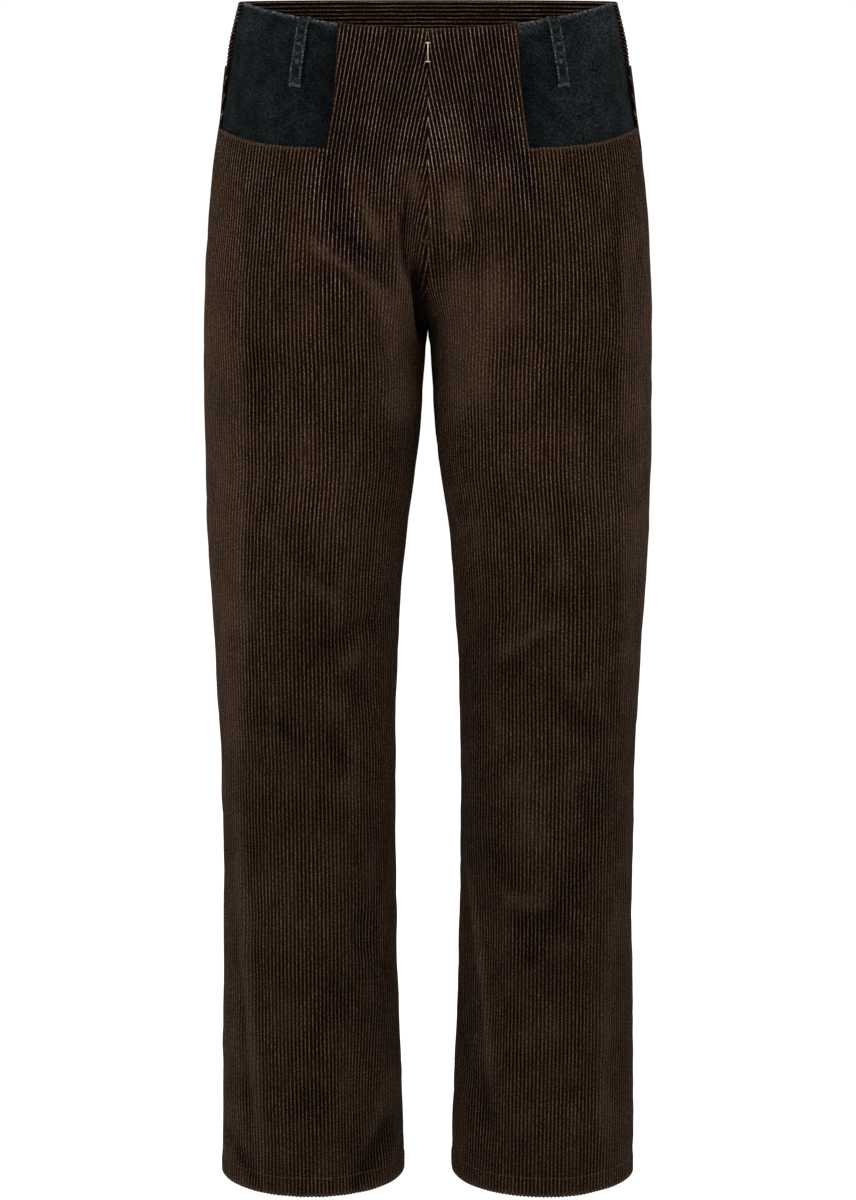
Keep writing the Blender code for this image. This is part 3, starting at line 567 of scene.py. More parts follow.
    Fold(B, -1, 96, -670, 84, -1060, 5, 12, 13, -1.6, 0.08, -0.16),
    Fold(B, -1, 50, -730, 56, -1000, 4, 12, 13, 1.3, -0.06, 0.08),
)


@dataclass(frozen=True)
class Lean:
    """A place where the wales lean: they are pushed out by up to amount, from z_top down to z_full.

    The push is (1 - d^2)^2 across, with d the distance from x in reaches, times a smooth rise from z_top to
    z_full and a smooth fall to z_end. A reach of 0 pushes the whole width and never falls again.
    """

    half: Half
    leg: int
    x: float
    reach: float
    z_top: float
    z_full: float
    z_end: float
    amount: float

    def push(self, x: Array, z: Array) -> Array:
        """How far the wales are moved along the cloth, in millimetres, at each place.

        Args:
            x: Distances from the middle plane.
            z: Heights.

        Returns:
            The distances.
        """
        down = smooth(z, self.z_top, self.z_full)
        if self.reach == 0:
            return self.amount * down + 0 * x
        across = np.clip(1 - ((x - self.x) / self.reach) ** 2, 0, 1) ** 2
        return self.amount * across * down * smooth(z, self.z_end, self.z_full)


LEANS = (
    Lean(F, -1, 0, 0, 50, -125, 0, 13.0),
    Lean(F, -1, 0, 60, 20, -130, -340, 6.0),
    Lean(F, -1, 6, 22, -98, -192, -262, 12.0),
    Lean(F, -1, 40, 55, -440, -520, -640, 2.4),
    Lean(F, -1, 46, 44, -860, -960, -1130, 7.0),
    Lean(F, 1, 0, 0, 50, -125, 0, 9.0),
    Lean(F, 1, 0, 66, 12, -150, -330, 7.0),
    Lean(F, 1, 34, 22, -140, -172, -200, 3.0),
    Lean(F, 1, 96, 52, -430, -520, -640, -2.2),
    Lean(F, 1, 40, 36, -640, -820, -1180, 7.0),
    Lean(B, 1, 0, 70, 0, -180, -330, 8.0),
    Lean(B, -1, 0, 70, 0, -180, -330, 8.0),
)


# ---------------------------------------- the meshes


@dataclass
class Patch:
    """A grid of points on the cloth, in millimetres, with what the finish reads at each of them.

    notes holds the wale count, the run along the wale, how crisp the pile stands and how pale the cloth is,
    with its painted shade, highlight and sheen.
    """

    points: Array
    notes: Array
    slot: int = 0


class Shell:
    """A closed mesh gathered from patches and from the strips that join their borders."""

    def __init__(self) -> None:
        """Start empty."""
        self.points: list[Array] = []
        self.notes: list[Array] = []
        self.faces: list[Array] = []
        self.slots: list[Array] = []
        self.count = 0

    def add(self, patch: Patch) -> Array:
        """Two triangles for each cell of a patch.

        Args:
            patch: The grid to add.

        Returns:
            The grid's point numbers, for strips.
        """
        rows, columns = patch.points.shape[:2]
        numbers = np.arange(rows * columns).reshape(rows, columns) + self.count
        self.count += rows * columns
        self.points.append(patch.points.reshape(-1, 3))
        self.notes.append(patch.notes.reshape(-1, patch.notes.shape[-1]))
        a, b, c, d = numbers[:-1, :-1], numbers[:-1, 1:], numbers[1:, 1:], numbers[1:, :-1]
        for corners in ((a, b, c), (a, c, d)):
            self._take(np.stack(corners, axis=-1).reshape(-1, 3), patch.slot)
        return numbers

    def _take(self, faces: Array, slot: int) -> None:
        """Keep some triangles under a material slot."""
        self.faces.append(faces)
        self.slots.append(np.full(len(faces), slot))

    def strip(self, first: Array, second: Array, slot: int = 0) -> None:
        """Triangles between two lines of points, taken in the order in which they lie along the lines.

        Args:
            first: Point numbers of one line.
            second: Point numbers of the other.
            slot: Material slot.
        """
        points = np.concatenate(self.points)
        shares = []
        for line in (first, second):
            steps = np.linalg.norm(np.diff(points[line], axis=0), axis=1)
            walked = np.concatenate([[0.0], np.cumsum(steps)])
            shares.append(walked / walked[-1])
        own = np.repeat([True, False], [len(first) - 1, len(second) - 1])
        order = np.argsort(np.concatenate([shares[0][1:], shares[1][1:]]), kind="stable")
        own = own[order]
        i = np.cumsum(own)
        j = np.cumsum(~own)
        near = np.where(own, first[np.maximum(i - 1, 0)], first[i])
        far = np.where(own, second[j], second[np.maximum(j - 1, 0)])
        onward = np.where(own, first[i], second[j])
        self._take(np.stack([near, far, onward], axis=1), slot)

    def join(self, first: Array, second: Array) -> None:
        """Strips along all four borders of two grids' point numbers."""
        for border in ((0, slice(None)), (-1, slice(None)), (slice(None), 0), (slice(None), -1)):
            self.strip(first[border], second[border])

    def add_tube(self, patch: Patch) -> None:
        """A tube, whose rows are rings, with each end closed on its ring's middle.

        Args:
            patch: Its points and notes, with each ring's first point given again as its last.
        """
        body = self.add(patch)
        for row in (0, -1):
            ring = patch.points[row]
            middle = Patch(ring[None, :] * 0.0 + ring.mean(axis=0), patch.notes[row][None, :])
            self.strip(body[row], self.add(middle)[0])

    def build(self, name: str, leg: int, materials: list[bpy.types.Material]) -> Object:
        """Weld, turn outwards and link the mesh, mirrored for the wearer's right.

        Args:
            name: Object name.
            leg: 1 for the wearer's left, -1 for the right.
            materials: One for each slot.

        Returns:
            The object, at the origin.
        """
        points = np.concatenate(self.points) * (leg, 1, 1)
        keys = np.round(points * 1000).astype(np.int64)
        _, first, number = np.unique(keys, axis=0, return_index=True, return_inverse=True)
        faces = number.reshape(-1)[np.concatenate(self.faces)]
        slots = np.concatenate(self.slots)
        whole = (faces[:, 0] != faces[:, 1]) & (faces[:, 1] != faces[:, 2]) & (faces[:, 0] != faces[:, 2])
        faces, slots = faces[whole], slots[whole]
        notes = np.concatenate(self.notes)[first]
        made = make_object(name, points[first] * MM, faces, materials)
        mesh = made.data
        mesh.polygons.foreach_set("material_index", slots.astype(np.int32))
        mend(mesh)
        corners = np.empty(len(mesh.loops), np.int32)
        mesh.loops.foreach_get("vertex_index", corners)
        mesh.uv_layers.new(name="cloth").data.foreach_set("uv", notes[corners, :2].astype(np.float32).ravel())
        for column, word in ((2, "crisp"), (3, "shade")):
            kept = mesh.attributes.new(word, "FLOAT", "POINT")
            kept.data.foreach_set("value", notes[:, column].astype(np.float32))
        return made


def make_object(
    name: str, points: Array, faces: Array, materials: list[bpy.types.Material]
) -> Object:
    """A smooth-shaded mesh object at the origin.

    Args:
        name: Object name.
        points: Points in metres.
        faces: Point numbers, a row for each face.
        materials: Its materials.

    Returns:
        The linked object.
    """
    mesh = bpy.data.meshes.new(name)
    size = faces.shape[1]
    mesh.vertices.add(len(points))
    mesh.vertices.foreach_set("co", points.astype(np.float32).ravel())
    mesh.loops.add(faces.size)
    mesh.loops.foreach_set("vertex_index", faces.astype(np.int32).ravel())
    mesh.polygons.add(len(faces))
    mesh.polygons.foreach_set("loop_start", np.arange(0, faces.size, size, dtype=np.int32))
    mesh.update(calc_edges=True)
    mesh.shade_smooth()
    for material in materials:
        mesh.materials.append(material)
    made = bpy.data.objects.new(name, mesh)
    bpy.context.scene.collection.objects.link(made)
    return made


def mend(mesh: bpy.types.Mesh, weld: float = 0.0, hole_sides: int = 0) -> None:
    """Merge doubles, close holes and turn every face outwards.

    Args:
        mesh: The mesh to mend.
        weld: How near two points are to be merged, in metres, or 0 to merge none.
        hole_sides: The most sides of a hole that is filled, or 0 to fill none.
    """
    shape = bmesh.new()
    shape.from_mesh(mesh)
    if weld:
        bmesh.ops.remove_doubles(shape, verts=shape.verts, dist=weld)
    if hole_sides:
        bmesh.ops.holes_fill(shape, edges=shape.edges, sides=hole_sides)
    bmesh.ops.recalc_face_normals(shape, faces=shape.faces)
    if shape.calc_volume(signed=True) < 0:
        bmesh.ops.reverse_faces(shape, faces=shape.faces)
    shape.to_mesh(mesh)
    shape.free()


def surface_area(made: Object) -> float:
    """Half of a closed shell's area, in square metres.

    Args:
        made: The shell.

    Returns:
        The area of one side.
    """
    sizes = np.empty(len(made.data.polygons), np.float32)
    made.data.polygons.foreach_get("area", sizes)
    return float(sizes.sum()) / 2


# ---------------------------------------- the finishes


class Graph:
    """A short way to write a Principled material's nodes."""

    def __init__(self, name: str) -> None:
        """Start a material with its Principled shader.

        Args:
            name: The material's name.
        """
        self.material = bpy.data.materials.new(name)
        self.material.use_nodes = True
        self.tree = self.material.node_tree
        self.shader = self.tree.nodes["Principled BSDF"]

    def node(self, kind: str, inputs: dict | None = None, **settings: object) -> bpy.types.Node:
        """A node with settings and inputs, each input a number, a colour or another node's socket.

        Args:
            kind: The node's type name.
            inputs: Values or sockets by input name or number.
            **settings: Properties of the node.

        Returns:
            The node.
        """
        made = self.tree.nodes.new(kind)
        for key, value in settings.items():
            setattr(made, key, value)
        for key, value in (inputs or {}).items():
            if isinstance(value, Socket):
                self.tree.links.new(value, made.inputs[key])
            else:
                made.inputs[key].default_value = value
        return made

    def math(self, operation: str, *values: object) -> Socket:
        """A Math node's result, from one to three numbers or sockets."""
        return self.node("ShaderNodeMath", dict(enumerate(values)), operation=operation).outputs[0]

    def times(self, first: object, second: object) -> Socket:
        """The product of two numbers or sockets."""
        return self.math("MULTIPLY", first, second)

    def toned(self, colour: object, tone: object) -> Socket:
        """A colour made paler or darker by a number."""
        return self.mix(1.0, colour, self.vector(tone, tone, tone), "MULTIPLY")

    def object_place(self) -> Socket:
        """The place on the object, in metres."""
        return self.node("ShaderNodeTexCoord").outputs["Object"]

    def span(self, value: object, low: float, high: float, to_low: float, to_high: float) -> Socket:
        """A smooth, clamped change from one range of numbers to another.

        Args:
            value: A number or a socket.
            low: Where the change starts.
            high: Where it ends.
            to_low: The result at low.
            to_high: The result at high.

        Returns:
            The changed number.
        """
        names = ("Value", "From Min", "From Max", "To Min", "To Max")
        inputs = dict(zip(names, (value, low, high, to_low, to_high)))
        return self.node("ShaderNodeMapRange", inputs, interpolation_type="SMOOTHSTEP").outputs[0]

    def mix(self, share: object, first: object, second: object, blend: str = "MIX") -> Socket:
        """Two colours mixed by a share."""
        inputs = {0: share, 6: colour_of(first), 7: colour_of(second)}
        return self.node("ShaderNodeMix", inputs, data_type="RGBA", blend_type=blend).outputs[2]

    def noise(self, place: object, scale: float, detail: float = 2.0, roughness: float = 0.5) -> Socket:
        """Noise between 0 and 1 at a place."""
        inputs = {"Vector": place, "Scale": scale, "Detail": detail, "Roughness": roughness}
        return self.node("ShaderNodeTexNoise", inputs).outputs["Fac"]

    def attribute(self, name: str) -> Socket:
        """A number kept at the mesh's points."""
        return self.node("ShaderNodeAttribute", attribute_name=name).outputs["Fac"]

    def cloth_place(self) -> tuple[Socket, Socket]:
        """The wale count and the run along the wale, from the cloth's own UV map."""
        place = self.node("ShaderNodeUVMap", uv_map="cloth").outputs[0]
        split = self.node("ShaderNodeSeparateXYZ", {0: place})
        return split.outputs[0], split.outputs[1]

    def vector(self, x: object, y: object, z: object = 0.0) -> Socket:
        """Three numbers as a vector."""
        return self.node("ShaderNodeCombineXYZ", {0: x, 1: y, 2: z}).outputs[0]

    def bump(self, height: object, distance: float, strength: float, under: object = None) -> Socket:
        """A bump from a height, over another bump if given.

        Args:
            height: The height, from 0 to 1.
            distance: How tall a height of 1 stands, in metres.
            strength: How much of it shows.
            under: The bump that it lies over.

        Returns:
            The bent normal.
        """
        inputs = {"Height": height, "Distance": distance, "Strength": strength}
        if under is not None:
            inputs["Normal"] = under
        return self.node("ShaderNodeBump", inputs).outputs[0]

    def finish(self, colour: object, normal: object | None, fixed: dict[str, object]) -> bpy.types.Material:
        """Connect the colour and the normal, and set the shader's fixed numbers.

        Args:
            colour: A colour or a socket.
            normal: A socket, or None.
            fixed: Numbers and colours by input name.

        Returns:
            The material.
        """
        if isinstance(colour, Socket):
            self.tree.links.new(colour, self.shader.inputs["Base Color"])
        else:
            self.shader.inputs["Base Color"].default_value = colour_of(colour)
        if normal is not None:
            self.tree.links.new(normal, self.shader.inputs["Normal"])
        for key, value in fixed.items():
            self.shader.inputs[key].default_value = value
        return self.material


def colour_of(value: object) -> object:
    """A colour with its fourth number, or a socket as it is."""
    return (*value, 1.0) if isinstance(value, tuple) and len(value) == 3 else value


@dataclass(frozen=True)
class Corduroy:
    """Wide-wale corduroy: a dark pile with a paler, broken line along each wale, which is partly its own
    paler pile ends and partly a painted highlight on the crest.

    Where the pile stands crisp the ground is nearly black and the line is grey-brown. Where it is brushed the
    two come close together in a mid brown. The grooves between the wales carry painted shade.
    """

    name: str = "brown corduroy"
    # painted shade in the grooves between the wales
    groove_shade: Colour = (0.0016, 0.0006, 0.0002)
    ground_brushed: Colour = (0.0280, 0.0155, 0.0090)
    ground_plain: Colour = (0.0115, 0.0043, 0.0012)
    ground_crisp: Colour = (0.0058, 0.0016, 0.0009)
    # the line's colours: its paler pile ends, with a painted highlight on the crest
    line_brushed: Colour = (0.0530, 0.0350, 0.0235)
    line_plain: Colour = (0.0830, 0.0555, 0.0385)
    line_crisp: Colour = (0.3600, 0.2740, 0.2470)

    def build(self) -> bpy.types.Material:
        """The material."""
        graph = Graph(self.name)
        wale, run = graph.cloth_place()
        crisp = graph.attribute("crisp")
        place = graph.vector(wale, run)
        pile = graph.noise(place, 2.1, 1.5, 0.7)
        bead = graph.noise(place, 0.95, 3.0, 0.7)
        streak = graph.noise(graph.vector(wale, graph.times(run, 0.14)), 1.1, 2.0, 0.5)
        cloud = graph.noise(graph.object_place(), 14.0, 3.0, 0.55)
        sway = graph.times(graph.math("SUBTRACT", bead, 0.5), 0.45)
        crest = graph.math("COSINE", graph.times(graph.math("ADD", wale, sway), 2 * math.pi))
        low = graph.span(crisp, 0.0, 0.5, 0.0, 1.0)
        high = graph.span(crisp, 0.48, 1.0, 0.0, 1.0)
        fine = graph.math("SUBTRACT", crest, graph.times(high, 0.18))
        line = graph.span(fine, 0.68, 1.0, 0.0, 1.0)
        body = graph.span(crest, -0.96, -0.40, 0.0, 1.0)
        line = graph.times(line, graph.span(streak, 0.25, 0.75, 0.55, 1.20))
        line = graph.times(line, graph.span(pile, 0.30, 0.70, 0.65, 1.20))
        ground = graph.mix(high, graph.mix(low, self.ground_brushed, self.ground_plain), self.ground_crisp)
        tips_and_highlight = graph.mix(high, graph.mix(low, self.line_brushed, self.line_plain), self.line_crisp)
        # painted shade in the grooves, fading where the pile is brushed
        groove_shade = graph.math("MAXIMUM", body, graph.math("SUBTRACT", 1.0, low))
        dark = graph.mix(groove_shade, self.groove_shade, ground)
        colour = graph.mix(line, dark, tips_and_highlight)
        cloudy = graph.span(cloud, 0.25, 0.75, 0.84, 1.16)
        tone = graph.times(graph.span(pile, 0.3, 0.7, 0.45, 1.6), cloudy)
        # the shade note paints shade, highlights and sheen into the colour, along with its own tone
        tone = graph.times(tone, graph.math("ADD", graph.attribute("shade"), 1.0))
        colour = graph.toned(colour, tone)
        normal = graph.bump(bead, 0.0005, 0.4, graph.bump(pile, 0.0007, 0.6))
        fixed = {
            "Roughness": 0.95,
            "Specular IOR Level": 0.02,
            "Sheen Weight": 0.03,
            "Sheen Roughness": 0.35,
            "Sheen Tint": (0.80, 0.52, 0.32, 1.0),
        }
        return graph.finish(colour, normal, fixed)


@dataclass(frozen=True)
class Denim:
    """Black denim: blue-green black twill, mottled, paler where rubbed and under painted highlights, darker
    where shade is below 0.
    """

    name: str = "black denim"
    ground: Colour = (0.0010, 0.0017, 0.0020)
    pale: Colour = (0.0062, 0.0076, 0.0085)
    # the colour of rubbed denim, which also paints highlights
    worn_and_highlight: Colour = (0.085, 0.098, 0.102)

    def build(self) -> bpy.types.Material:
        """The material."""
        graph = Graph(self.name)
        across, run = graph.cloth_place()
        shade = graph.attribute("shade")
        place = graph.vector(across, run)
        cloud = graph.noise(place, 0.11, 4.0, 0.6)
        mottle = graph.noise(place, 0.8, 2.0, 0.7)
        slub = graph.noise(graph.vector(graph.times(across, 3.0), graph.times(run, 0.5)), 1.2)
        lean = graph.math("SUBTRACT", run, graph.times(across, 0.8))
        lean = graph.math("ADD", lean, graph.times(mottle, 0.2))
        rib = graph.math("SINE", graph.times(lean, 2 * math.pi * 0.78))
        fleck = graph.noise(place, 1.9, 1.0, 0.6)
        weave = graph.times(graph.span(rib, -1.0, 1.0, 0.0, 1.0), graph.span(slub, 0.3, 0.7, 0.3, 1.3))
        colour = graph.mix(graph.span(cloud, 0.32, 0.68, 0.0, 0.7), self.ground, self.pale)
        colour = graph.mix(graph.times(weave, 0.75), colour, self.pale)
        rub = graph.span(graph.math("ADD", mottle, graph.times(weave, 0.3)), 0.35, 0.85, 0.0, 1.0)
        # paler by the shade note where rubbed, which also paints highlights on the hip panels' creased
        # corners and the loops' edges
        colour = graph.mix(graph.times(shade, rub), colour, self.worn_and_highlight)
        colour = graph.mix(graph.span(fleck, 0.56, 0.70, 0.0, 0.16), colour, self.worn_and_highlight)
        cloudy = graph.span(cloud, 0.32, 0.68, 0.80, 1.16)
        tone = graph.times(graph.span(mottle, 0.32, 0.68, 0.45, 1.50), cloudy)
        # darker where the shade note is below 0, beside the fronts' upright edges
        tone = graph.times(tone, graph.span(shade, -0.6, 0.0, 0.35, 1.0))
        colour = graph.toned(colour, tone)
        normal = graph.bump(mottle, 0.0006, 0.35, graph.bump(weave, 0.00025, 0.6))
        return graph.finish(colour, normal, {"Roughness": 0.9, "Specular IOR Level": 0.02})


@dataclass(frozen=True)
class Reverse:
    """The plain inside of the corduroy, seen through the waist and the hems."""

    name: str = "corduroy reverse"
    colour: Colour = (0.012, 0.0075, 0.005)

    def build(self) -> bpy.types.Material:
        """The material."""
        graph = Graph(self.name)
        across, run = graph.cloth_place()
        grain = graph.noise(graph.vector(across, graph.times(run, 3.0)), 3.0, 3.0, 0.6)
        tone = graph.span(grain, 0.2, 0.8, 0.7, 1.3)
        colour = graph.toned(self.colour, tone)
        fixed = {"Roughness": 0.95, "Specular IOR Level": 0.1}
        return graph.finish(colour, graph.bump(grain, 0.0003, 0.5), fixed)


@dataclass(frozen=True)
class Thread:
    """Sewing thread with a fine twist."""

    name: str
    colour: Colour

    def build(self) -> bpy.types.Material:
        """The material."""
        graph = Graph(self.name)
        place = graph.object_place()
        twist = graph.noise(place, 2600.0, 2.0, 0.6)
        tone = graph.span(twist, 0.25, 0.75, 0.7, 1.3)
        colour = graph.toned(self.colour, tone)
        fixed = {"Roughness": 0.7, "Specular IOR Level": 0.1}
        return graph.finish(colour, graph.bump(twist, 0.0001, 0.5), fixed)


@dataclass(frozen=True)
class Plating:
    """Satin pale gold plating with faint brushing."""

    name: str = "pale gold"
    colour: Colour = (0.56, 0.48, 0.34)

    def build(self) -> bpy.types.Material:
        """The material."""
        graph = Graph(self.name)
        place = graph.object_place()
        brushed = graph.node("ShaderNodeMapping", {"Vector": place, "Scale": (1.0, 1.0, 0.06)}).outputs[0]
        line = graph.noise(brushed, 5200.0, 2.0, 0.5)
        tone = graph.span(line, 0.2, 0.8, 0.85, 1.1)
        colour = graph.toned(self.colour, tone)
        return graph.finish(colour, graph.bump(line, 0.00003, 0.4), {"Roughness": 0.28, "Metallic": 1.0})


@dataclass
class Finishes:
    """Every material, made once."""

    corduroy: bpy.types.Material
    reverse: bpy.types.Material
    denim: bpy.types.Material
    brown_thread: bpy.types.Material
    dark_thread: bpy.types.Material
    black_thread: bpy.types.Material
    gold: bpy.types.Material

    @classmethod
    def make(cls) -> "Finishes":
        """All the finishes of the trousers."""
        return cls(
            Corduroy().build(),
            Reverse().build(),
            Denim().build(),
            Thread("brown thread", (0.060, 0.038, 0.025)).build(),
            Thread("dark thread", (0.022, 0.011, 0.006)).build(),
            Thread("black thread", (0.030, 0.033, 0.034)).build(),
            Plating().build(),
        )


# ---------------------------------------- corduroy surfaces


@dataclass(frozen=True)
class Profile:
    """A number by height: straight between its rows and level past them."""

    heights: tuple[float, ...]
    values: tuple[float, ...]

    def at(self, z: Array) -> Array:
        """The number at each height."""
        return np.interp(z, self.heights, self.values)


# how crisp the pile stands, how strongly the folds' painted shade and highlight show, and the strip of
# painted sheen beside each outside seam, paler and with softer wales: where it begins, how strong it is and
# how pale. -1 is the wearer's right leg and 1 the left.
CRISPNESS = Profile((-1016, -700, -420, -200, -130, -95), (0.34, 0.34, 0.38, 0.46, 0.52, 0.55))
FOLD_SHADE = Profile((-450, -350), (1.15, 1.6))
SIDE_LEVELS = (-1012, -915, -782, -680, -560, -300)
SIDE_REACH = {
    -1: Profile(SIDE_LEVELS, (148, 152, 160, 165, 161, 159)),
    1: Profile(SIDE_LEVELS, (158, 160, 166, 172, 171, 168)),
}
SIDE_STRENGTH = {-1: Profile((-720, -520), (0.4, 1.0)), 1: Profile((-720, -520), (0.15, 1.0))}
SIDE_SHEEN = {-1: 0.20, 1: 0.10}


@dataclass
class Corded:
    """A corduroy surface on one half of one leg: its lift above the form at any place, and its notes.

    A wale's height is relief * (wale_top(count) - groove_level), and less where the pile lies over.
    """

    half: Half
    leg: int
    relief: float = 0.6
    groove_level: float = 0.6
    roll: float = 1.5
    ditch: float = 0.55
    ditch_reach: float = 1.3

    def drift(self, z: Array, u: Array) -> Array:
        """How far the wales are pushed along the cloth at each place.

        Args:
            z: Heights.
            u: Distances along the cloth.

        Returns:
            The distances.
        """
        x, level = sighted(self.half, FORM.place(self.half, z, u))
        own = [d for d in LEANS if d.half is self.half and d.leg == self.leg]
        return sum((d.push(x, level) for d in own), np.zeros(x.shape))

    def settle(self, lines: Array, z: Array, low: Array, high: Array) -> Array:
        """Distances along the cloth of wale lines, pushed by the drift and held between two seams.

        Args:
            lines: The lines' own distances.
            z: Heights, a row for each level.
            low: The inner limit at each height.
            high: The outer limit at each height.

        Returns:
            Distances, with the shape of z.
        """
        u = np.clip(lines[None, :] + np.zeros_like(z), low, high)
        for _ in range(3):
            u = np.clip(lines[None, :] + self.drift(z, u), low, high)
        return u

    def wales(self, z: Array, u: Array) -> Array:
        """The wale count at each place."""
        return (u - self.drift(z, u)) / PITCH

    def creased(self, points: Array) -> Array:
        """The lift of the folds and of the cloth's soft unevenness at places on the form.

        Args:
            points: Points of the form.

        Returns:
            The lift of each.
        """
        x, z = sighted(self.half, points)
        seed = 11 + 2 * self.leg + (50 if self.half is Half.BACK else 0)
        total = 0.5 * ripple(x / 70, z / 95, seed) + 0.28 * ripple(x / 26, z / 34, seed + 1)
        for fold in self.folds():
            total = total + fold.lift * fold.share(x, z)
        if self.half is Half.BACK:
            total = total + BACK_PROUD * np.clip(1 - (WAISTBAND_FOOT - points[..., 2]) / 40.0, 0, 1)
        return total

    def folds(self) -> list[Fold]:
        """The folds of this half and leg."""
        return [fold for fold in FOLDS if fold.half is self.half and fold.leg == self.leg]

    def _sheen_strip(self, x: Array, z: Array) -> Array:
        """How far each place lies in the strip of painted sheen beside the outside seam, from 0 to 1."""
        reach = SIDE_REACH[self.leg].at(z)
        return smooth(x, reach - 3, reach + 3) * smooth(z, -70, -200) * SIDE_STRENGTH[self.leg].at(z)

    def notes(self, points: Array, z: Array, u: Array, edge: Array) -> Array:
        """Wale count, run, crispness and paleness, with its painted shade, highlight and sheen, at each
        point.

        Args:
            points: Points of the form.
            z: Heights.
            u: Distances along the cloth.
            edge: Distance to the nearest free edge.

        Returns:
            The four notes, last.
        """
        wale, run = self.wales(z, u), z / PITCH
        x, z = sighted(self.half, points)
        crisp = CRISPNESS.at(z)
        middle = smooth(x, 96, 70) if self.half is Half.FRONT else 0.15
        crisp = crisp + 0.36 * middle * smooth(z, -132, -98)
        # a strip of painted sheen beside the outside seam, paler and with softer wales
        sheen_strip = self._sheen_strip(x, z)
        crisp = crisp - 0.14 * sheen_strip
        shade = SIDE_SHEEN[self.leg] * sheen_strip
        depth = FOLD_SHADE.at(z)
        # the folds paint their shade and highlights into the colour, and make the pile crisper or softer
        for fold in self.folds():
            share = fold.share(x, z)
            crisp = crisp + 1.8 * fold.crisp * share
            shade = shade + depth * fold.shade * share
        crisp = crisp + 0.05 * ripple(u / 40, z / 90, 31 + self.leg) + 0.04 * ripple(u / 12, z / 36, 33)
        shade = shade + 0.06 * ripple(u / 26, z / 55, 41 + self.leg) + 0.06 * ripple(u / 8, z / 24, 43)
        shade = shade - 0.22 * smooth(z, -380, -560)
        if self.half is Half.FRONT:
            notch = bell(x, 11) * smooth(z, -16, 2)
            crisp = crisp - 0.30 * notch
            shade = shade + 0.15 * notch
        fuzz = bell(edge, 2.6)
        if self.half is Half.FRONT and self.leg > 0:
            rib = bell(x - 0.5, 2.4) * smooth(z, -25, -45) * smooth(z, -200, -170)
            shade = shade + 0.9 * rib
            crisp = crisp - 0.15 * rib
        crisp = np.clip(np.maximum(crisp, 0.18) - 0.6 * fuzz, 0, 1)
        shade = np.clip(shade + 0.16 * fuzz, -0.9, 1.2)
        return np.stack([wale, run, crisp, shade], axis=-1)

    def outer(self, z: Array, u: Array, edge: Array) -> Patch:
        """The pile side of the cloth.

        Args:
            z: Heights.
            u: Distances along the cloth.
            edge: Distance to the nearest free edge that rolls over.

        Returns:
            The patch.
        """
        form = FORM.place(self.half, z, u)
        x = form[..., 0]
        notes = self.notes(form, z, u, edge)
        wale = notes[..., 0]
        wobble = wale + 0.055 * ripple(wale / 2.5, z / 26, 5 + self.leg)
        round_top = wale_top(wobble)
        stands = 0.25 + 0.75 * np.maximum(smooth(notes[..., 2], 0.05, 0.5), bell(edge, 4))
        lift = self.relief * stands * (round_top - self.groove_level)
        lift = lift + self.creased(form)
        from_inside = u - FORM.seam(self.half, "inside", z)
        seam = np.minimum(from_inside, FORM.seam(self.half, "outside", z) - u)
        lift = lift - self.ditch * bell(seam, self.ditch_reach)
        over = np.clip(1 - edge / self.roll, 0, 1)
        lift = lift - self.roll * (1 - dome(over)) * 0.75
        lift = lift + self.stitched(x, z)
        ends = 0.85 * round_top * bell(edge, 1.2) * np.where(z < -900, -1, 1)
        return Patch(self._lifted(form, z, u, lift, z + ends), notes)

    def _lifted(
        self, form: Array, z: Array, u: Array, lift: Array, level: Array
    ) -> Array:
        """Points at a lift over the form, where the push sideways fades to nothing at the middle seam.

        At the crotch the legs are closed a centimetre further down, and lap by half a millimetre.

        Args:
            form: Points of the form.
            z: Heights.
            u: Distances along the cloth.
            lift: Distances over the form.
            level: The heights to give the points.

        Returns:
            The points.
        """
        points = form + lift[..., None] * FORM.normal(self.half, z, u)
        inside = FORM.seam(self.half, "inside", z)
        beside = np.where(z > CROTCH - 1, smooth(u - inside, 0.0, 7.0), 1.0)
        shut = FORM.place(self.half, z, inside)[..., 0] * smooth(z, CROTCH - 22, CROTCH - 5)
        shut = shut * bell(u - inside, 22)
        lap = 0.5 * smooth(z, -185, -210) * smooth(z, CROTCH - 20, CROTCH - 8)
        points[..., 0] = np.maximum(form[..., 0] + (points[..., 0] - form[..., 0]) * beside - shut, 0.0)
        points[..., 0] -= lap * bell(u - inside, 6)
        crossing = (u <= inside + SAME) & (z > CROTCH + 1)
        points[..., 0] = np.where(crossing, -lap, points[..., 0])
        points[..., 2] = np.maximum(level, HEM - 1.0)
        return points

    def stitched(self, x: Array, z: Array) -> Array:
        """The hem's doubled cloth under its line of stitches, and the pressed line of the fly's stitching.

        Args:
            x: Distances from the middle plane.
            z: Heights.

        Returns:
            The lift that they give.
        """
        above = z - (HEM + HEM_STITCH)
        lift = 0.5 * smooth(above, 1.5, -1.5) - 0.55 * bell(above, 1.2)
        if self.half is Half.FRONT and self.leg > 0:
            lift = lift - 0.6 * bell(fly_curve_distance(x, z), 1.4)
            lift = lift + 0.7 * bell(x, 2.6) * smooth(z, -25, -45) * smooth(z, -190, -160)
        return lift

    def inner(self, z: Array, u: Array) -> Patch:
        """The plain inside, one wall in, without wales.

        Args:
            z: Heights.
            u: Distances along the cloth.

        Returns:
            The patch.
        """
        form = FORM.place(self.half, z, u)
        lift = self.creased(form) - WALL
        notes = self.notes(form, z, u, np.full(z.shape, FAR))
        return Patch(self._lifted(form, z, u, lift, z), notes, slot=1)


FLY_TOP, FLY_TURN, FLY_FOOT = -2.0, -133.0, -176.5
FLY_OUT, FLY_IN = 41.5, 2.0


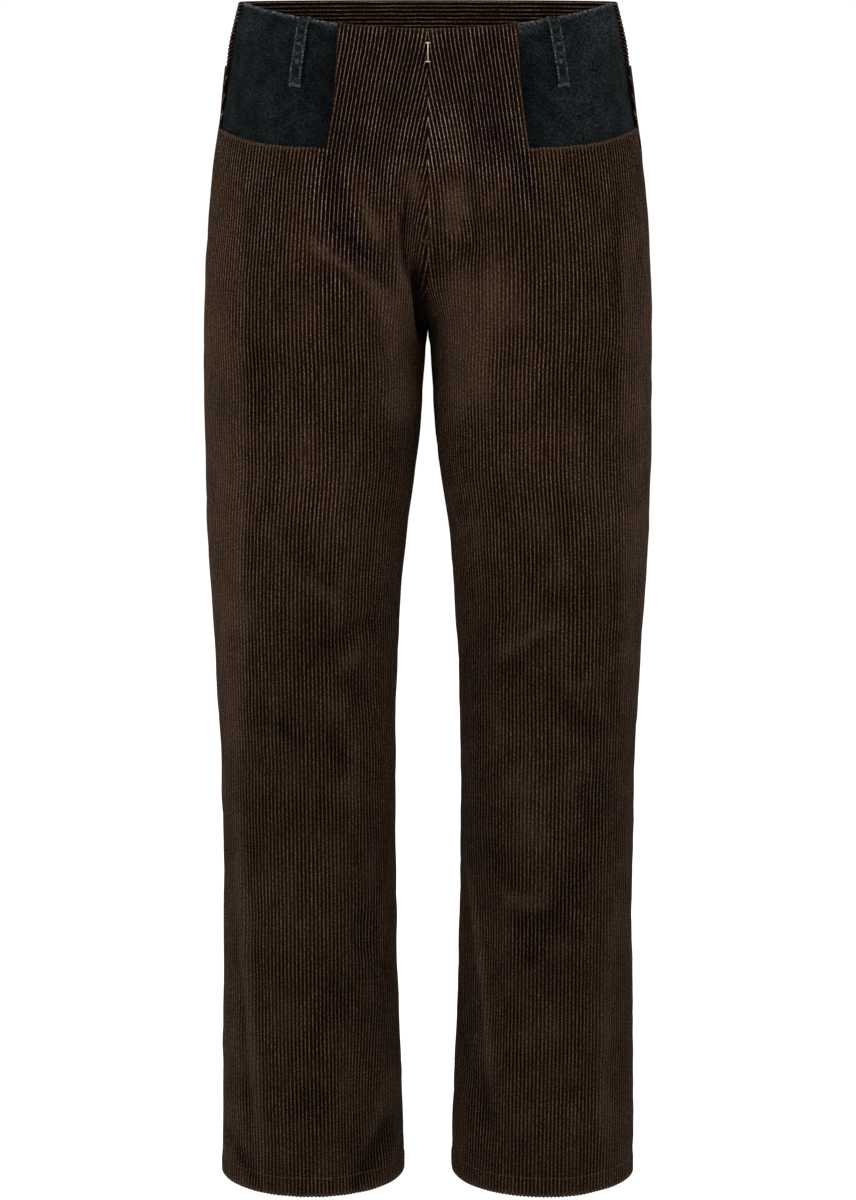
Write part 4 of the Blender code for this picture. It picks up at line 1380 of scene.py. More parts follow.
def fly_line(z: Array) -> Array:
    """Distance from the middle of the fly's upright stitching: FLY_OUT at the mouths, 6.5 less at 0."""
    return FLY_OUT - 6.5 * smooth(z, MOUTH_LEVEL, 0.0)


def fly_curve(count: int) -> Array:
    """Points (x, z) along the fly's stitching: down its upright line, then a quarter ellipse inwards.

    Args:
        count: Points on each of the two.

    Returns:
        The points, in a row each.
    """
    level = np.linspace(FLY_TOP, FLY_TURN, count)
    down = np.stack([fly_line(level), level], axis=1)
    turn = np.linspace(0, np.pi / 2, count)
    across = FLY_OUT - (FLY_OUT - FLY_IN) * (1 - np.cos(turn))
    round_in = np.stack([across, FLY_TURN + (FLY_FOOT - FLY_TURN) * np.sin(turn)], axis=1)
    return np.concatenate([down, round_in[1:]])


def fly_curve_distance(x: Array, z: Array) -> Array:
    """Distance from the fly's stitching: from its upright line above the turn, from an ellipse below it.

    Args:
        x: Distances from the middle plane.
        z: Heights.

    Returns:
        The distances, above 0 on the outer side.
    """
    straight = np.where(z > FLY_TOP, FAR, x - fly_line(z))
    across = (x - FLY_IN) / (FLY_OUT - FLY_IN)
    down = (z - FLY_TURN) / (FLY_FOOT - FLY_TURN)
    bent = (np.hypot(np.maximum(across, 0), np.maximum(down, 0)) - 1) * 41.0
    return np.where(z > FLY_TURN, straight, bent)


def wale_lines(low: float, high: float, shares: tuple[float, ...]) -> Array:
    """Column distances: each wale's own shares of the pitch, from low to high."""
    counts = np.arange(math.floor(low / PITCH) - 1, math.ceil(high / PITCH) + 2)
    return np.sort((counts[:, None] + np.array(shares)).ravel()) * PITCH


FINE = (-0.5, -0.42, -0.30, -0.12, 0.12, 0.30, 0.42)  # columns of the pile side, in shares of a wale
COARSE = (-0.5,)  # columns of the inside
COARSER = 1.6  # how much further apart the rows are inside


class Cloth(Enum):
    """A cloth, by its slot in the record."""

    CORDUROY = "brown_corduroy"
    DENIM = "black_denim"


class Sheet:
    """A sheet of cloth, made as one closed shell that rides with its solid and stands for it.

    Flat is the width and length that it was cut to, in metres, and area its own area, where it isn't an
    oblong. Looks are the finishes of its outer face and, where it has one, of its plain inside.
    """

    node: str
    leg: int
    flat: tuple[float, float]
    area: float | None
    cloth: ClassVar[Cloth] = Cloth.CORDUROY
    looks: ClassVar[tuple[str, ...]] = ("corduroy",)
    held: ClassVar[str] = "hung"

    def _fill(self, shell: Shell) -> None:
        """Add every face of the sheet to a shell."""
        raise NotImplementedError

    def build(self, finishes: Finishes) -> Object:
        """Make and dress the sheet.

        Args:
            finishes: The materials.

        Returns:
            The object.
        """
        shell = Shell()
        self._fill(shell)
        looks = [getattr(finishes, look) for look in self.looks]
        made = shell.build(f"{self.cloth.name.lower()}_{self.node}", self.leg, looks)
        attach(made, "root")
        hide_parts(self.node)
        self.flat
        LOG.info("%s: %d triangles, %.4f m2", made.name, len(made.data.polygons), surface_area(made))
        return made


@dataclass
class FrontPanel(Sheet):
    """A front: from the waist edge to the hem, with its corner cut away for the hip panel."""

    leg: int
    node: str
    row_step: float = 7.6
    flat: tuple[float, float] = (0.322, 1.035)
    area: float = 0.242
    looks: ClassVar[tuple[str, ...]] = ("corduroy", "reverse")

    def _levels(self, step: float) -> tuple[Array, Array]:
        """Shares of the way down beside the hip panel, and levels below the mouth, closer near edges.

        Args:
            step: About how far apart two rows are.

        Returns:
            The shares and the levels.
        """
        near = np.array([0.4, 1.0, 1.8, 3.0])
        beside = np.linspace(7.0 / HIP_TALL, 1.0, int(HIP_TALL / step))
        upper = np.concatenate([[0.0], near / HIP_TALL, beside])
        span = MOUTH_LEVEL - HEM
        middle = np.linspace(7.0, span - 24.0, int(span / step))
        lower = np.concatenate([[0.0], near, middle, span - np.array(HEM_ROWS)])
        return upper, MOUTH_LEVEL - lower

    def _grids(self, corded: Corded, shares: tuple[float, ...], step: float) -> tuple:
        """Heights and distances of the two grids, and the column of their shared corner.

        Inside, the side edge stands back by SLANT, and the back's reaches as far under it.

        Args:
            corded: The surface.
            shares: Shares of the pitch at which a wale has columns.
            step: About how far apart two rows are.

        Returns:
            The upper and the lower grid, the corner's column and its distance along the cloth.
        """
        corner = float(edge_of_hip(np.array(MOUTH_LEVEL)))
        slant = SLANT if shares is COARSE else 0.0
        lines = wale_lines(-150.0, 160.0, shares)
        least = PITCH * (0.2 if shares is COARSE else 0.06)
        lines = np.sort(np.append(lines[np.abs(lines - corner) > least], corner))
        column = int(np.searchsorted(lines, corner))
        down, levels = self._levels(step)
        z = np.zeros((len(down), len(lines))) + (RIM_SIDE * (1 - down) + MOUTH_LEVEL * down)[:, None]
        for _ in range(5):
            u = corded.settle(lines, z, FORM.seam(F, "inside", z), edge_of_hip(z))
            rim = rim_height(FORM.place(F, z, u)[..., 0])
            z = rim * (1 - down[:, None]) + MOUTH_LEVEL * down[:, None]
        low_z = np.zeros((len(levels), len(lines))) + levels[:, None]
        fade = smooth(levels, MOUTH_LEVEL - 90, MOUTH_LEVEL)[:, None]
        for _ in range(5):
            high = FORM.seam(F, "outside", low_z) - slant
            low_u = corded.settle(lines, low_z, FORM.seam(F, "inside", low_z), high)
            rise = mouth_height(FORM.place(F, low_z, low_u)[..., 0]) - MOUTH_LEVEL
            low_z = levels[:, None] + rise * fade
        return (z, u), (low_z, low_u), column, corner

    def _edge(self, z: Array, u: Array, corner: float) -> Array:
        """Distance to the nearest free edge: the waist edge, the hip panel's edge, the mouth or the hem.

        Args:
            z: Heights.
            u: Distances along the cloth.
            corner: Distance along the cloth of the hip panel's inner corner.

        Returns:
            The distances.
        """
        x = FORM.place(F, z, u)[..., 0]
        beside = np.where(u < corner, np.hypot(corner - u, MOUTH_LEVEL - z), mouth_height(x) - z)
        above = z >= MOUTH_LEVEL - SAME
        upright = np.where(above & (u <= corner + 9), edge_of_hip(z) - u, beside)
        return np.minimum(np.minimum(np.abs(upright), np.abs(rim_height(x) - z)), z - HEM)

    def _fill(self, shell: Shell) -> None:
        """The pile side and the inside, each of a grid above the mouth and one below, and their borders.

        Args:
            shell: Where the faces go.
        """
        corded = Corded(F, self.leg)
        sides = []
        for shares, step in ((FINE, self.row_step), (COARSE, self.row_step * COARSER)):
            *grids, column, corner = self._grids(corded, shares, step)
            for z, u in grids:
                if shares is FINE:
                    sides.append(shell.add(corded.outer(z, u, self._edge(z, u, corner))))
                else:
                    sides.append(shell.add(corded.inner(z, u)))
            sides.append(column)
        up, down, at, up_in, down_in, at_in = sides
        shell.strip(up[0], up_in[0])
        shell.strip(up[:, -1], up_in[:, -1])
        shell.strip(down[0, at:], down_in[0, at_in:])
        shell.strip(down[:, -1], down_in[:, -1])
        shell.strip(down[-1], down_in[-1])
        shell.strip(np.concatenate([up[:, 0], down[1:, 0]]), np.concatenate([up_in[:, 0], down_in[1:, 0]]))


@dataclass
class BackPanel(Sheet):
    """A back: from under the waistband to the hem."""

    leg: int
    node: str
    row_step: float = 8.2
    flat: tuple[float, float] = (0.372, 1.001)
    area: float = 0.276
    looks: ClassVar[tuple[str, ...]] = ("corduroy", "reverse")

    def _grid(self, corded: Corded, shares: tuple[float, ...], step: float) -> tuple[Array, Array]:
        """Heights and distances of a grid from the waistband to the hem.

        Args:
            corded: The surface.
            shares: Shares of the pitch at which a wale has columns.
            step: About how far apart two rows are.

        Returns:
            The two grids.
        """
        top = WAISTBAND_FOOT - SEAM_GAP
        span = top - HEM
        near = np.array([0.0, 0.5, 1.2, 2.2, 4.0])
        middle = np.linspace(8.0, span - 24.0, int(span / step))
        levels = top - np.concatenate([near, middle, span - np.array(HEM_ROWS)])
        slant = SLANT if shares is COARSE else 0.0
        lines = wale_lines(-175.0, 190.0, shares)
        z = np.zeros((len(levels), len(lines))) + levels[:, None]
        return z, corded.settle(lines, z, FORM.seam(B, "inside", z), FORM.seam(B, "outside", z) + slant)

    def _fill(self, shell: Shell) -> None:
        """The pile side and the inside, joined along their borders.

        Args:
            shell: Where the faces go.
        """
        corded = Corded(B, self.leg)
        z, u = self._grid(corded, FINE, self.row_step)
        edge = np.minimum(z - HEM, 0.4 + np.abs(WAISTBAND_FOOT - z))
        outer = shell.add(corded.outer(z, u, edge))
        inner = shell.add(corded.inner(*self._grid(corded, COARSE, self.row_step * COARSER)))
        shell.join(outer, inner)


def with_mirror(points: Array, notes: Array, counted: int) -> Patch:
    """A patch of the wearer's left side and its mirror image, joined at the middle.

    Args:
        points: Points, each row from the middle outwards.
        notes: Their notes.
        counted: Which note counts from the middle, so that it is below 0 on the wearer's right.

    Returns:
        The patch, each row from the wearer's right round to the left.
    """
    turned = np.ones(notes.shape[-1])
    turned[counted] = -1
    return Patch(
        np.concatenate([points[:, :0:-1] * (-1, 1, 1), points], axis=1),
        np.concatenate([notes[:, :0:-1] * turned, notes], axis=1),
    )


@dataclass
class Waistband(Sheet):
    """The back waistband with level wales on both of its faces, which meet in a rolled top edge."""

    node: str = "back_waistband"
    leg: int = 1
    columns: int = 72
    rows_per_wale: int = 6
    relief: float = 0.8
    flat: tuple[float, float] = (0.497, 0.056)
    area: float = 0.0266

    def _face(self, inside: bool) -> Patch:
        """One face of the band: its lift is the wales' own, or their mirror one wall in.

        Args:
            inside: Whether it faces the wearer.

        Returns:
            The patch, from the wearer's right side round to the left.
        """
        tall = RIM_SIDE - WAISTBAND_FOOT
        rows = int(tall / PITCH * self.rows_per_wale)
        down = np.concatenate([[0.0, 0.25, 0.7], np.linspace(1.2, tall, rows)])
        level = RIM_SIDE - down
        zero = FORM.along_at(B, level, np.zeros(len(level)))
        side = FORM.seam(B, "outside", level)
        share = np.linspace(0, 1, self.columns)
        u = zero[:, None] + (side - zero)[:, None] * share
        z = level[:, None] + np.zeros_like(u)
        wale = (z - RIM_SIDE) / PITCH + 0.5 + 0.05 * ripple(u / 30, z / 9, 71)
        lift = self.relief * (wale_top(wale) - 0.6) * (0.8 if inside else 1.0)
        roll = np.clip(1 - down / 1.2, 0, 1)[:, None]
        lift = lift - 0.8 * (1 - dome(roll))
        waver = 0.35 * ripple(u / 60, z / 60, 72)
        lift = (-WALL - lift if inside else lift) + waver
        form = FORM.place(B, z, u)
        points = form + lift[..., None] * FORM.normal(B, z, u)
        points[..., 2] = z
        points[:, 0, 0] = 0.0
        crisp = 0.62 + 0.1 * ripple(u / 40, z / 30, 73)
        wear_and_highlight = 0.5 * bell(down, 2.5)[:, None] + np.zeros_like(u)
        notes = np.stack([wale, u / PITCH, crisp, wear_and_highlight], axis=-1)
        return with_mirror(points, notes, counted=1)

    def _fill(self, shell: Shell) -> None:
        """Both faces, joined along their borders."""
        shell.join(shell.add(self._face(False)), shell.add(self._face(True)))


# ---------------------------------------- denim pieces


@dataclass
class HipPanel(Sheet):
    """A black denim hip panel: one layer in, tucked under the front's edges and the back's side edge."""

    leg: int
    node: str
    columns: int = 84
    rows: int = 84
    front_tuck: float = 14.0
    back_tuck: float = 7.0
    flat: tuple[float, float] = (0.158, 0.122)
    area: float = 0.0175
    cloth: ClassVar[Cloth] = Cloth.DENIM
    looks: ClassVar[tuple[str, ...]] = ("denim",)

    def _distance(self, z: Array, share: Array) -> Array:
        """Distances along the cloth across the panel, from under the front to the side.

        Args:
            z: Heights.
            share: Shares of the way across.

        Returns:
            The distances.
        """
        low = edge_of_hip(z) - self.front_tuck
        tuck = np.clip((WAISTBAND_FOOT - z) / 8.0, 0.2, 1) * self.back_tuck
        return low + (FORM.seam(F, "outside", z) + tuck - low) * share

    def _face(self, layer: float) -> Patch:
        """One face of the panel at a layer under the form.

        Args:
            layer: Its lift over the form.

        Returns:
            The patch.
        """
        share = np.linspace(0, 1, self.columns)[None, :]
        down = np.concatenate([[0.0, 0.004, 0.012], np.linspace(0.02, 1, self.rows - 3)])[:, None]
        z = np.zeros((self.rows, self.columns)) + RIM_SIDE * (1 - down) + MOUTH_LEVEL * down
        for _ in range(5):
            x = FORM.place(F, z, self._distance(z, share))[..., 0]
            z = rim_height(x) * (1 - down) + (mouth_height(x) - self.front_tuck) * down
        u = self._distance(z, share)
        form = FORM.place(F, z, u)
        x = form[..., 0]
        left = self.leg > 0
        seed = 90 + self.leg
        lift = layer + 0.28 * ripple(x / 34, z / 30, seed) + 0.14 * ripple(x / 13, z / 10, seed + 1)
        near = np.exp(-(((x - 82) / 10) ** 2) - ((z - 8) / 12) ** 2)
        lift = lift + near * 0.35 * np.sin((x * 0.7 + z) / 2.4) * (1.0 if left else 0.5)
        edge = rim_height(x) - z
        lift = np.minimum(lift, layer + 0.5) - 0.35 * np.clip(1 - edge / 1.2, 0, 1) ** 2
        points = form + lift[..., None] * FORM.normal(F, z, u)
        points[..., 2] = z
        # paler along the rim where rubbed, and near the upper inner corner, where rubbed creases carry a
        # painted highlight
        wear_and_highlight = 0.9 * bell(edge, 1.8) + 0.22 * near * (1.0 if left else 0.6)
        far = np.exp(-(((x - 152) / 18) ** 2) - ((z - 14) / 16) ** 2)
        wear_and_highlight = wear_and_highlight + 0.16 * far * (0.8 if left else 0.5)
        wear_and_highlight = wear_and_highlight + (0.05 if left else -0.02)
        # darker beside the front's upright edge
        wear_and_highlight = wear_and_highlight - 0.42 * bell(x - hip_edge(z), 17) * smooth(edge, 3, 16)
        notes = np.stack([self.leg * u / 2.0, z / 2.0, np.zeros_like(z), np.clip(wear_and_highlight, -0.6, 1)], axis=-1)
        return Patch(points, notes)

    def _fill(self, shell: Shell) -> None:
        """Both faces, joined along their borders."""
        shell.join(shell.add(self._face(HIP_LAYER)), shell.add(self._face(HIP_LAYER - DENIM_WALL)))


@dataclass
class BeltLoop(Sheet):
    """A belt loop: a strap seated at its top and foot, with stitched edges and a barred, folded foot.

    The strap is a rounded oblong section carried down its path, and it bulges from each end's seat as the
    0.7th power of the distance, as the solid does.
    """

    node: str
    half: Half
    leg: int
    x_top: float
    z_top: float
    x_foot: float
    z_foot: float
    layer_top: float
    layer_foot: float
    width: float = 10.0
    thick: float = 1.7
    gap: float = 3.4
    bulge_share: float = 0.14
    bar_share: float = 0.965
    area: float | None = None
    cloth: ClassVar[Cloth] = Cloth.DENIM
    looks: ClassVar[tuple[str, ...]] = ("denim",)
    held: ClassVar[str] = "stretched"

    @property
    def flat(self) -> tuple[float, float]:
        """The strap's width and its length along the path, in metres."""
        steps = np.diff(self._path(np.linspace(0, 1, 400))[0], axis=0)
        length = float(np.linalg.norm(steps, axis=1).sum())
        return self.width * MM, round(length * MM, 3)

    def _path(self, share: Array) -> tuple[Array, Array, Array]:
        """The strap's middle, its sideways direction and its outward direction along the path.

        Args:
            share: Shares of the way down.

        Returns:
            A row for each share in all three.
        """
        z = self.z_top + (self.z_foot - self.z_top) * share
        x = self.x_top + (self.x_foot - self.x_top) * share
        layer = self.layer_top + (self.layer_foot - self.layer_top) * share
        middle = FORM.place(self.half, z, FORM.along_at(self.half, z, x))
        beside = unit(FORM.place(self.half, z, FORM.along_at(self.half, z, x + 1)) - middle)
        outward = np.cross(beside, (0, 0, 1)) * -self.half.sign
        bulge = self.gap * np.clip(np.minimum(share, 1 - share) / self.bulge_share, 0, 1) ** 0.7
        seat = LAYER_GAP + self.thick / 2 + 0.05
        return middle + outward * (layer + seat + bulge)[:, None], beside, outward

    def _strap(self, shell: Shell) -> None:
        """The strap: 24 corners round a rounded oblong, carried along 48 places.

        Args:
            shell: Where its faces go.
        """
        share = np.concatenate([[0.0, 0.004], np.linspace(0.012, 0.988, 44), [0.996, 1.0]])
        middle, beside, outward = self._path(share)
        turn = np.linspace(0, 2 * np.pi, 25)
        wide = np.sign(np.cos(turn)) * np.abs(np.cos(turn)) ** 0.35
        deep = np.sign(np.sin(turn)) * np.abs(np.sin(turn)) ** 0.6
        ends = np.maximum(dome(np.clip(1 - np.minimum(share, 1 - share) / 0.012, 0, 1)), 0.02)[:, None]
        edge = 1 + 0.16 * bell(np.abs(wide) - 0.82, 0.12) * (deep > 0)
        waver = 1 + 0.05 * ripple(share * 2.1, np.zeros_like(share), 17 + int(self.x_top))[:, None]
        across = wide[None, :] * self.width / 2 * waver
        rise = deep[None, :] * edge[None, :] * self.thick / 2 * ends
        points = middle[:, None] + beside[:, None] * across[..., None] + outward[:, None] * rise[..., None]
        # paler rounded edges: rubbed, with a painted highlight on them
        wear_and_highlight = 0.06 + 0.8 * bell(np.abs(wide) - 0.95, 0.12)[None, :] * np.ones_like(share)[:, None]
        wear_and_highlight = wear_and_highlight + 0.32 * ripple(share[:, None] * 9, wide[None, :] * 1.5, 23)
        grain = np.zeros_like(across)
        notes = np.stack([across / 2.0, points[..., 2] / 2.0, grain, np.clip(wear_and_highlight, 0, 1)], axis=-1)
        shell.add_tube(Patch(points, notes))

    def _bar(self, shell: Shell) -> None:
        """The folded foot: a short rounded bar across the strap, 0.7 wider than it at each side.

        Args:
            shell: Where its faces go.
        """
        middle, beside, outward = self._path(np.array([self.bar_share]))
        turn = np.linspace(0, 2 * np.pi, 13)
        along = np.linspace(-1, 1, 15)
        size = dome(along, 6)[:, None]
        reach = (self.width / 2 + 0.7) * along
        up = np.array([0.0, 0.0, 1.0])
        outward, beside = outward[0], beside[0]
        centre = middle[0] + outward * (self.thick / 2 + 0.1) + up * (0.5 * np.sin(along * 2))[:, None]
        points = centre[:, None] + beside * reach[:, None, None]
        points = points + outward * (0.75 * size * np.sin(turn))[..., None]
        points = points + up * (1.3 * size * np.cos(turn))[..., None]
        plain = points[..., 0] * 0
        notes = np.stack([points[..., 0] / 2, points[..., 2] / 2, plain, plain + 0.8], axis=-1)
        shell.add_tube(Patch(points, notes))

    def _fill(self, shell: Shell) -> None:
        """The strap and its folded foot."""
        self._strap(shell)
        self._bar(shell)

    def build(self, finishes: Finishes) -> Object:
        """Make and dress the loop, and sew its rows of stitches.

        Args:
            finishes: The materials.

        Returns:
            The loop, without its stitches.
        """
        made = super().build(finishes)
        self._sew(finishes)
        return made

    def _sew(self, finishes: Finishes) -> None:
        """A row of stitches along each edge of the strap, and a close bar of them at its foot.

        Args:
            finishes: The materials.
        """
        share = np.linspace(0.04, 0.94, 200)
        middle, beside, outward = self._path(share)
        runs = []
        for aside in (-0.36, 0.36):
            line = middle + beside * aside * self.width + outward * (self.thick / 2 + 0.12)
            runs.append(stitches(line, outward, 2.3, 1.7, 0.22))
        bar_middle, bar_beside, bar_outward = self._path(np.array([self.bar_share]))
        reach = np.linspace(-1, 1, 60)[:, None] * (self.width / 2 + 0.3)
        line = bar_middle + bar_beside * reach + bar_outward * (self.thick / 2 + 0.85)
        line[:, 2] += 0.8 * np.sign(np.sin(np.arange(60) * 1.6))
        runs.append(stitches(line, np.repeat(bar_outward, 60, axis=0), 1.0, 1.5, 0.2))
        sew_on(f"stitching_{self.node}", runs, self.leg, finishes.black_thread)


# ---------------------------------------- stitching


def read_along(values: Array, walked: Array, at: Array) -> Array:
    """Points or directions kept along a line, read at some distances along it."""
    return np.stack([np.interp(at, walked, values[:, k]) for k in range(3)], axis=1)


def tube_faces(rings: int, corners: int) -> Array:
    """Quads between the rings of a tube, whose points are numbered ring by ring.

    Args:
        rings: How many rings it has.
        corners: How many points a ring has.

    Returns:
        Point numbers, four to a row.
    """
    number = np.arange(rings * corners).reshape(rings, corners)
    around = np.roll(number, -1, axis=1)
    return np.stack([number[:-1], around[:-1], around[1:], number[1:]], axis=-1).reshape(-1, 4)


def stitches(line: Array, outward: Array, step: float, length: float, radius: float) -> Array:
    """Short rounded stitches along a line: each a six-sided capsule, sunk at both its ends.

    Args:
        line: Points of the line.
        outward: The direction away from the cloth at each point.
        step: Distance from one stitch to the next.
        length: Length of a stitch.
        radius: Half its thickness.

    Returns:
        Points of all the stitches, by stitch, ring and corner.
    """
    walked = np.concatenate([[0.0], np.cumsum(np.linalg.norm(np.diff(line, axis=0), axis=1))])
    count = max(int((walked[-1] - length) / step) + 1, 1)
    middles = np.arange(count) * step + length / 2
    at = read_along(line, walked, middles)
    along = unit(read_along(line, walked, middles + length / 2) - at)
    aside = unit(np.cross(along, read_along(outward, walked, middles)))
    out = np.cross(aside, along)
    ring = np.array([-1.0, -0.8, -0.35, 0.35, 0.8, 1.0])
    size = dome(ring, 4)
    sink = -0.5 * ring**4 * radius * 2
    turn = np.linspace(0, 2 * np.pi, 7)[:-1]
    corner = radius * size[:, None] * np.cos(turn)
    height = radius * size[:, None] * np.sin(turn) + sink[:, None]
    place = at[:, None, None] + along[:, None, None] * (ring * length / 2)[None, :, None, None]
    place = place + aside[:, None, None] * corner[None, ..., None]
    return place + out[:, None, None] * height[None, ..., None]


def sew_on(name: str, runs: list[Array], leg: int, material: bpy.types.Material) -> Object:
    """One mesh of many stitches.

    Args:
        name: Object name.
        runs: What stitches() gave.
        leg: 1 for the wearer's left, -1 for the right.
        material: The thread.

    Returns:
        The object.
    """
    points = np.concatenate(runs)
    count, rings, corners = points.shape[:3]
    first = np.arange(count) * rings * corners
    faces = (tube_faces(rings, corners)[None] + first[:, None, None]).reshape(-1, 4)
    made = make_object(name, points.reshape(-1, 3) * (leg, 1, 1) * MM, faces, [material])
    mend(made.data, weld=1e-7)
    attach(made, "root")
    LOG.info("%s: %d stitches", name, count)
    return made


@dataclass
class Stitching:
    """The lines of stitches that show on the corduroy: both hems, the fly's curve and its bar."""

    bar_level: float = -162.5
    bar_from: float = -4.8
    bar_to: float = 3.6

    def _on_cloth(self, half: Half, leg: int, z: Array, u: Array, over: float) -> tuple:
        """Points on the cloth's wales, and the outward directions there.

        Args:
            half: Front or back.
            leg: 1 for the wearer's left, -1 for the right.
            z: Heights.
            u: Distances along the cloth.
            over: Lift over the cloth.

        Returns:
            The points and the directions.
        """
        corded = Corded(half, leg)
        form = FORM.place(half, z, u)
        out = FORM.normal(half, z, u)
        lift = corded.creased(form) + corded.stitched(form[..., 0], z) + over
        return form + out * lift[:, None], out

    def build(self, finishes: Finishes) -> None:
        """Sew every line.

        Args:
            finishes: The materials.
        """
        for leg, word in ((1, "left"), (-1, "right")):
            runs = []
            for half in Half:
                z = np.full(260, HEM + HEM_STITCH)
                low = FORM.seam(half, "inside", z[:1])[0] + 0.6
                high = FORM.seam(half, "outside", z[:1])[0] - 0.6
                line, out = self._on_cloth(half, leg, z, np.linspace(low, high, 260), 0.42)
                runs.append(stitches(line, out, 3.1, 2.5, 0.27))
            sew_on(f"stitching_hem_{word}", runs, leg, finishes.brown_thread)
        self._fly(finishes)

    def _fly(self, finishes: Finishes) -> None:
        """The fly's curve, and a close bar of stitches across the middle seam over its foot.

        Args:
            finishes: The materials.
        """
        curve = fly_curve(120)
        z = curve[:, 1]
        line, out = self._on_cloth(F, 1, z, FORM.along_at(F, z, curve[:, 0]), 0.3)
        runs = [stitches(line, out, 2.9, 2.2, 0.26)]
        side = np.linspace(self.bar_from, self.bar_to, 60)
        z = self.bar_level + 0.9 * np.sign(np.sin(np.arange(60) * 1.7))
        line, out = self._on_cloth(F, 1, z, FORM.along_at(F, z, np.abs(side)), 0.9)
        line[:, 0] = side
        runs.append(stitches(line, out, 1.3, 1.9, 0.26))
        sew_on("stitching_fly", runs, 1, finishes.dark_thread)


# ---------------------------------------- the fastener


@dataclass
class FlyBar:
    """The upright metal bar at the centre front: a bowed wire between two short crosspieces."""

    node: str = "fly_bar"
    top: float = 0.6
    length: float = 17.0
    wire: float = 0.38
    cross_half: float = 2.1
    cross_radius: float = 0.52
    ahead: float = 2.5
    bow: float = 0.55
    inset: float = 0.9
    sides: int = 14

    def _tube(self, path: Array, radii: Array) -> tuple[Array, Array]:
        """A closed tube of circles carried along a path, and its faces.

        Args:
            path: Points of the middle line.
            radii: Radius at each of them.

        Returns:
            Points and quads.
        """
        along = unit(np.gradient(path, axis=0))
        aside = unit(np.cross(along, (0.0, 1.0, 0.0)))
        other = np.cross(along, aside)
        turn = np.linspace(0, 2 * np.pi, self.sides + 1)[:-1]
        ring = aside[:, None] * np.cos(turn)[:, None] + other[:, None] * np.sin(turn)[:, None]
        points = path[:, None] + ring * radii[:, None, None]
        return points.reshape(-1, 3), tube_faces(len(path), self.sides)

    def build(self, finishes: Finishes) -> Object:
        """Make and dress the bar.

        Args:
            finishes: The materials.

        Returns:
            The object.
        """
        foot = self.top - self.length
        ends = np.array([self.top, foot])
        depth = FORM.place(F, ends, FORM.along_at(F, ends, np.zeros(2)))[:, 1] - self.ahead
        share = np.linspace(0, 1, 33)
        z = self.top - self.inset + (foot + 2 * self.inset - self.top) * share
        y = depth[0] + (depth[1] - depth[0]) * share - self.bow * np.sin(np.pi * share)
        end = np.maximum(dome(2 * share - 1, 24), 0.001)
        pieces = [self._tube(np.stack([0 * z, y, z], axis=1), self.wire * end)]
        for height, back in ((self.top - self.inset, depth[0]), (foot + self.inset, depth[1])):
            across = np.linspace(-1, 1, 21)
            round_off = np.maximum(dome(across, 8), 0.001)
            path = np.stack([across * self.cross_half, 0 * across + back, 0 * across + height], axis=1)
            pieces.append(self._tube(path, self.cross_radius * round_off))
        points, faces, count = [], [], 0
        for piece, quads in pieces:
            points.append(piece)
            faces.append(quads + count)
            count += len(piece)
        points = np.concatenate(points) * MM
        made = make_object("metal_fly_bar", points, np.concatenate(faces), [finishes.gold])
        mend(made.data, weld=2e-6, hole_sides=20)
        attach(made, "root")
        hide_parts(self.node)
        LOG.info("%s: %d faces", made.name, len(made.data.polygons))
        return made


@dataclass
class FlyShield(Sheet):
    """The strip of corduroy behind the centre front seam."""

    node: str = "fly_shield"
    half_width: float = 20.0
    rows: int = 60
    columns: int = 24
    leg: int = 1
    below_rim: float = 3.4
    foot: float = -150.0
    flat: tuple[float, float] = (0.04, 0.158)
    area: float | None = None

    def _face(self, layer: float) -> Patch:
        """One face of the strip at a layer under the form, with wales on the outer one.

        Args:
            layer: Its lift over the form.

        Returns:
            The patch.
        """
        x = np.linspace(0, self.half_width, self.columns)[None, :]
        z = np.linspace(RIM_SIDE - RIM_DROP - self.below_rim, self.foot, self.rows)[:, None] + 0 * x
        u = FORM.along_at(F, z, x + 0 * z)
        form = FORM.place(F, z, u)
        wale = u / PITCH
        relief = 0.0 if layer < HIP_LAYER - 0.5 else 0.5 * (wale_top(wale) - 1)
        points = form + (layer + relief + 0 * z)[..., None] * FORM.normal(F, z, u)
        points[..., 2] = z
        points[:, 0, 0] = 0.0
        notes = np.stack([wale, z / PITCH, 0 * z + 0.6, 0 * z], axis=-1)
        return with_mirror(points, notes, counted=0)

    def _fill(self, shell: Shell) -> None:
        """Both faces, joined along their borders."""
        shell.join(shell.add(self._face(HIP_LAYER)), shell.add(self._face(HIP_LAYER - DENIM_WALL)))


# ---------------------------------------- studio


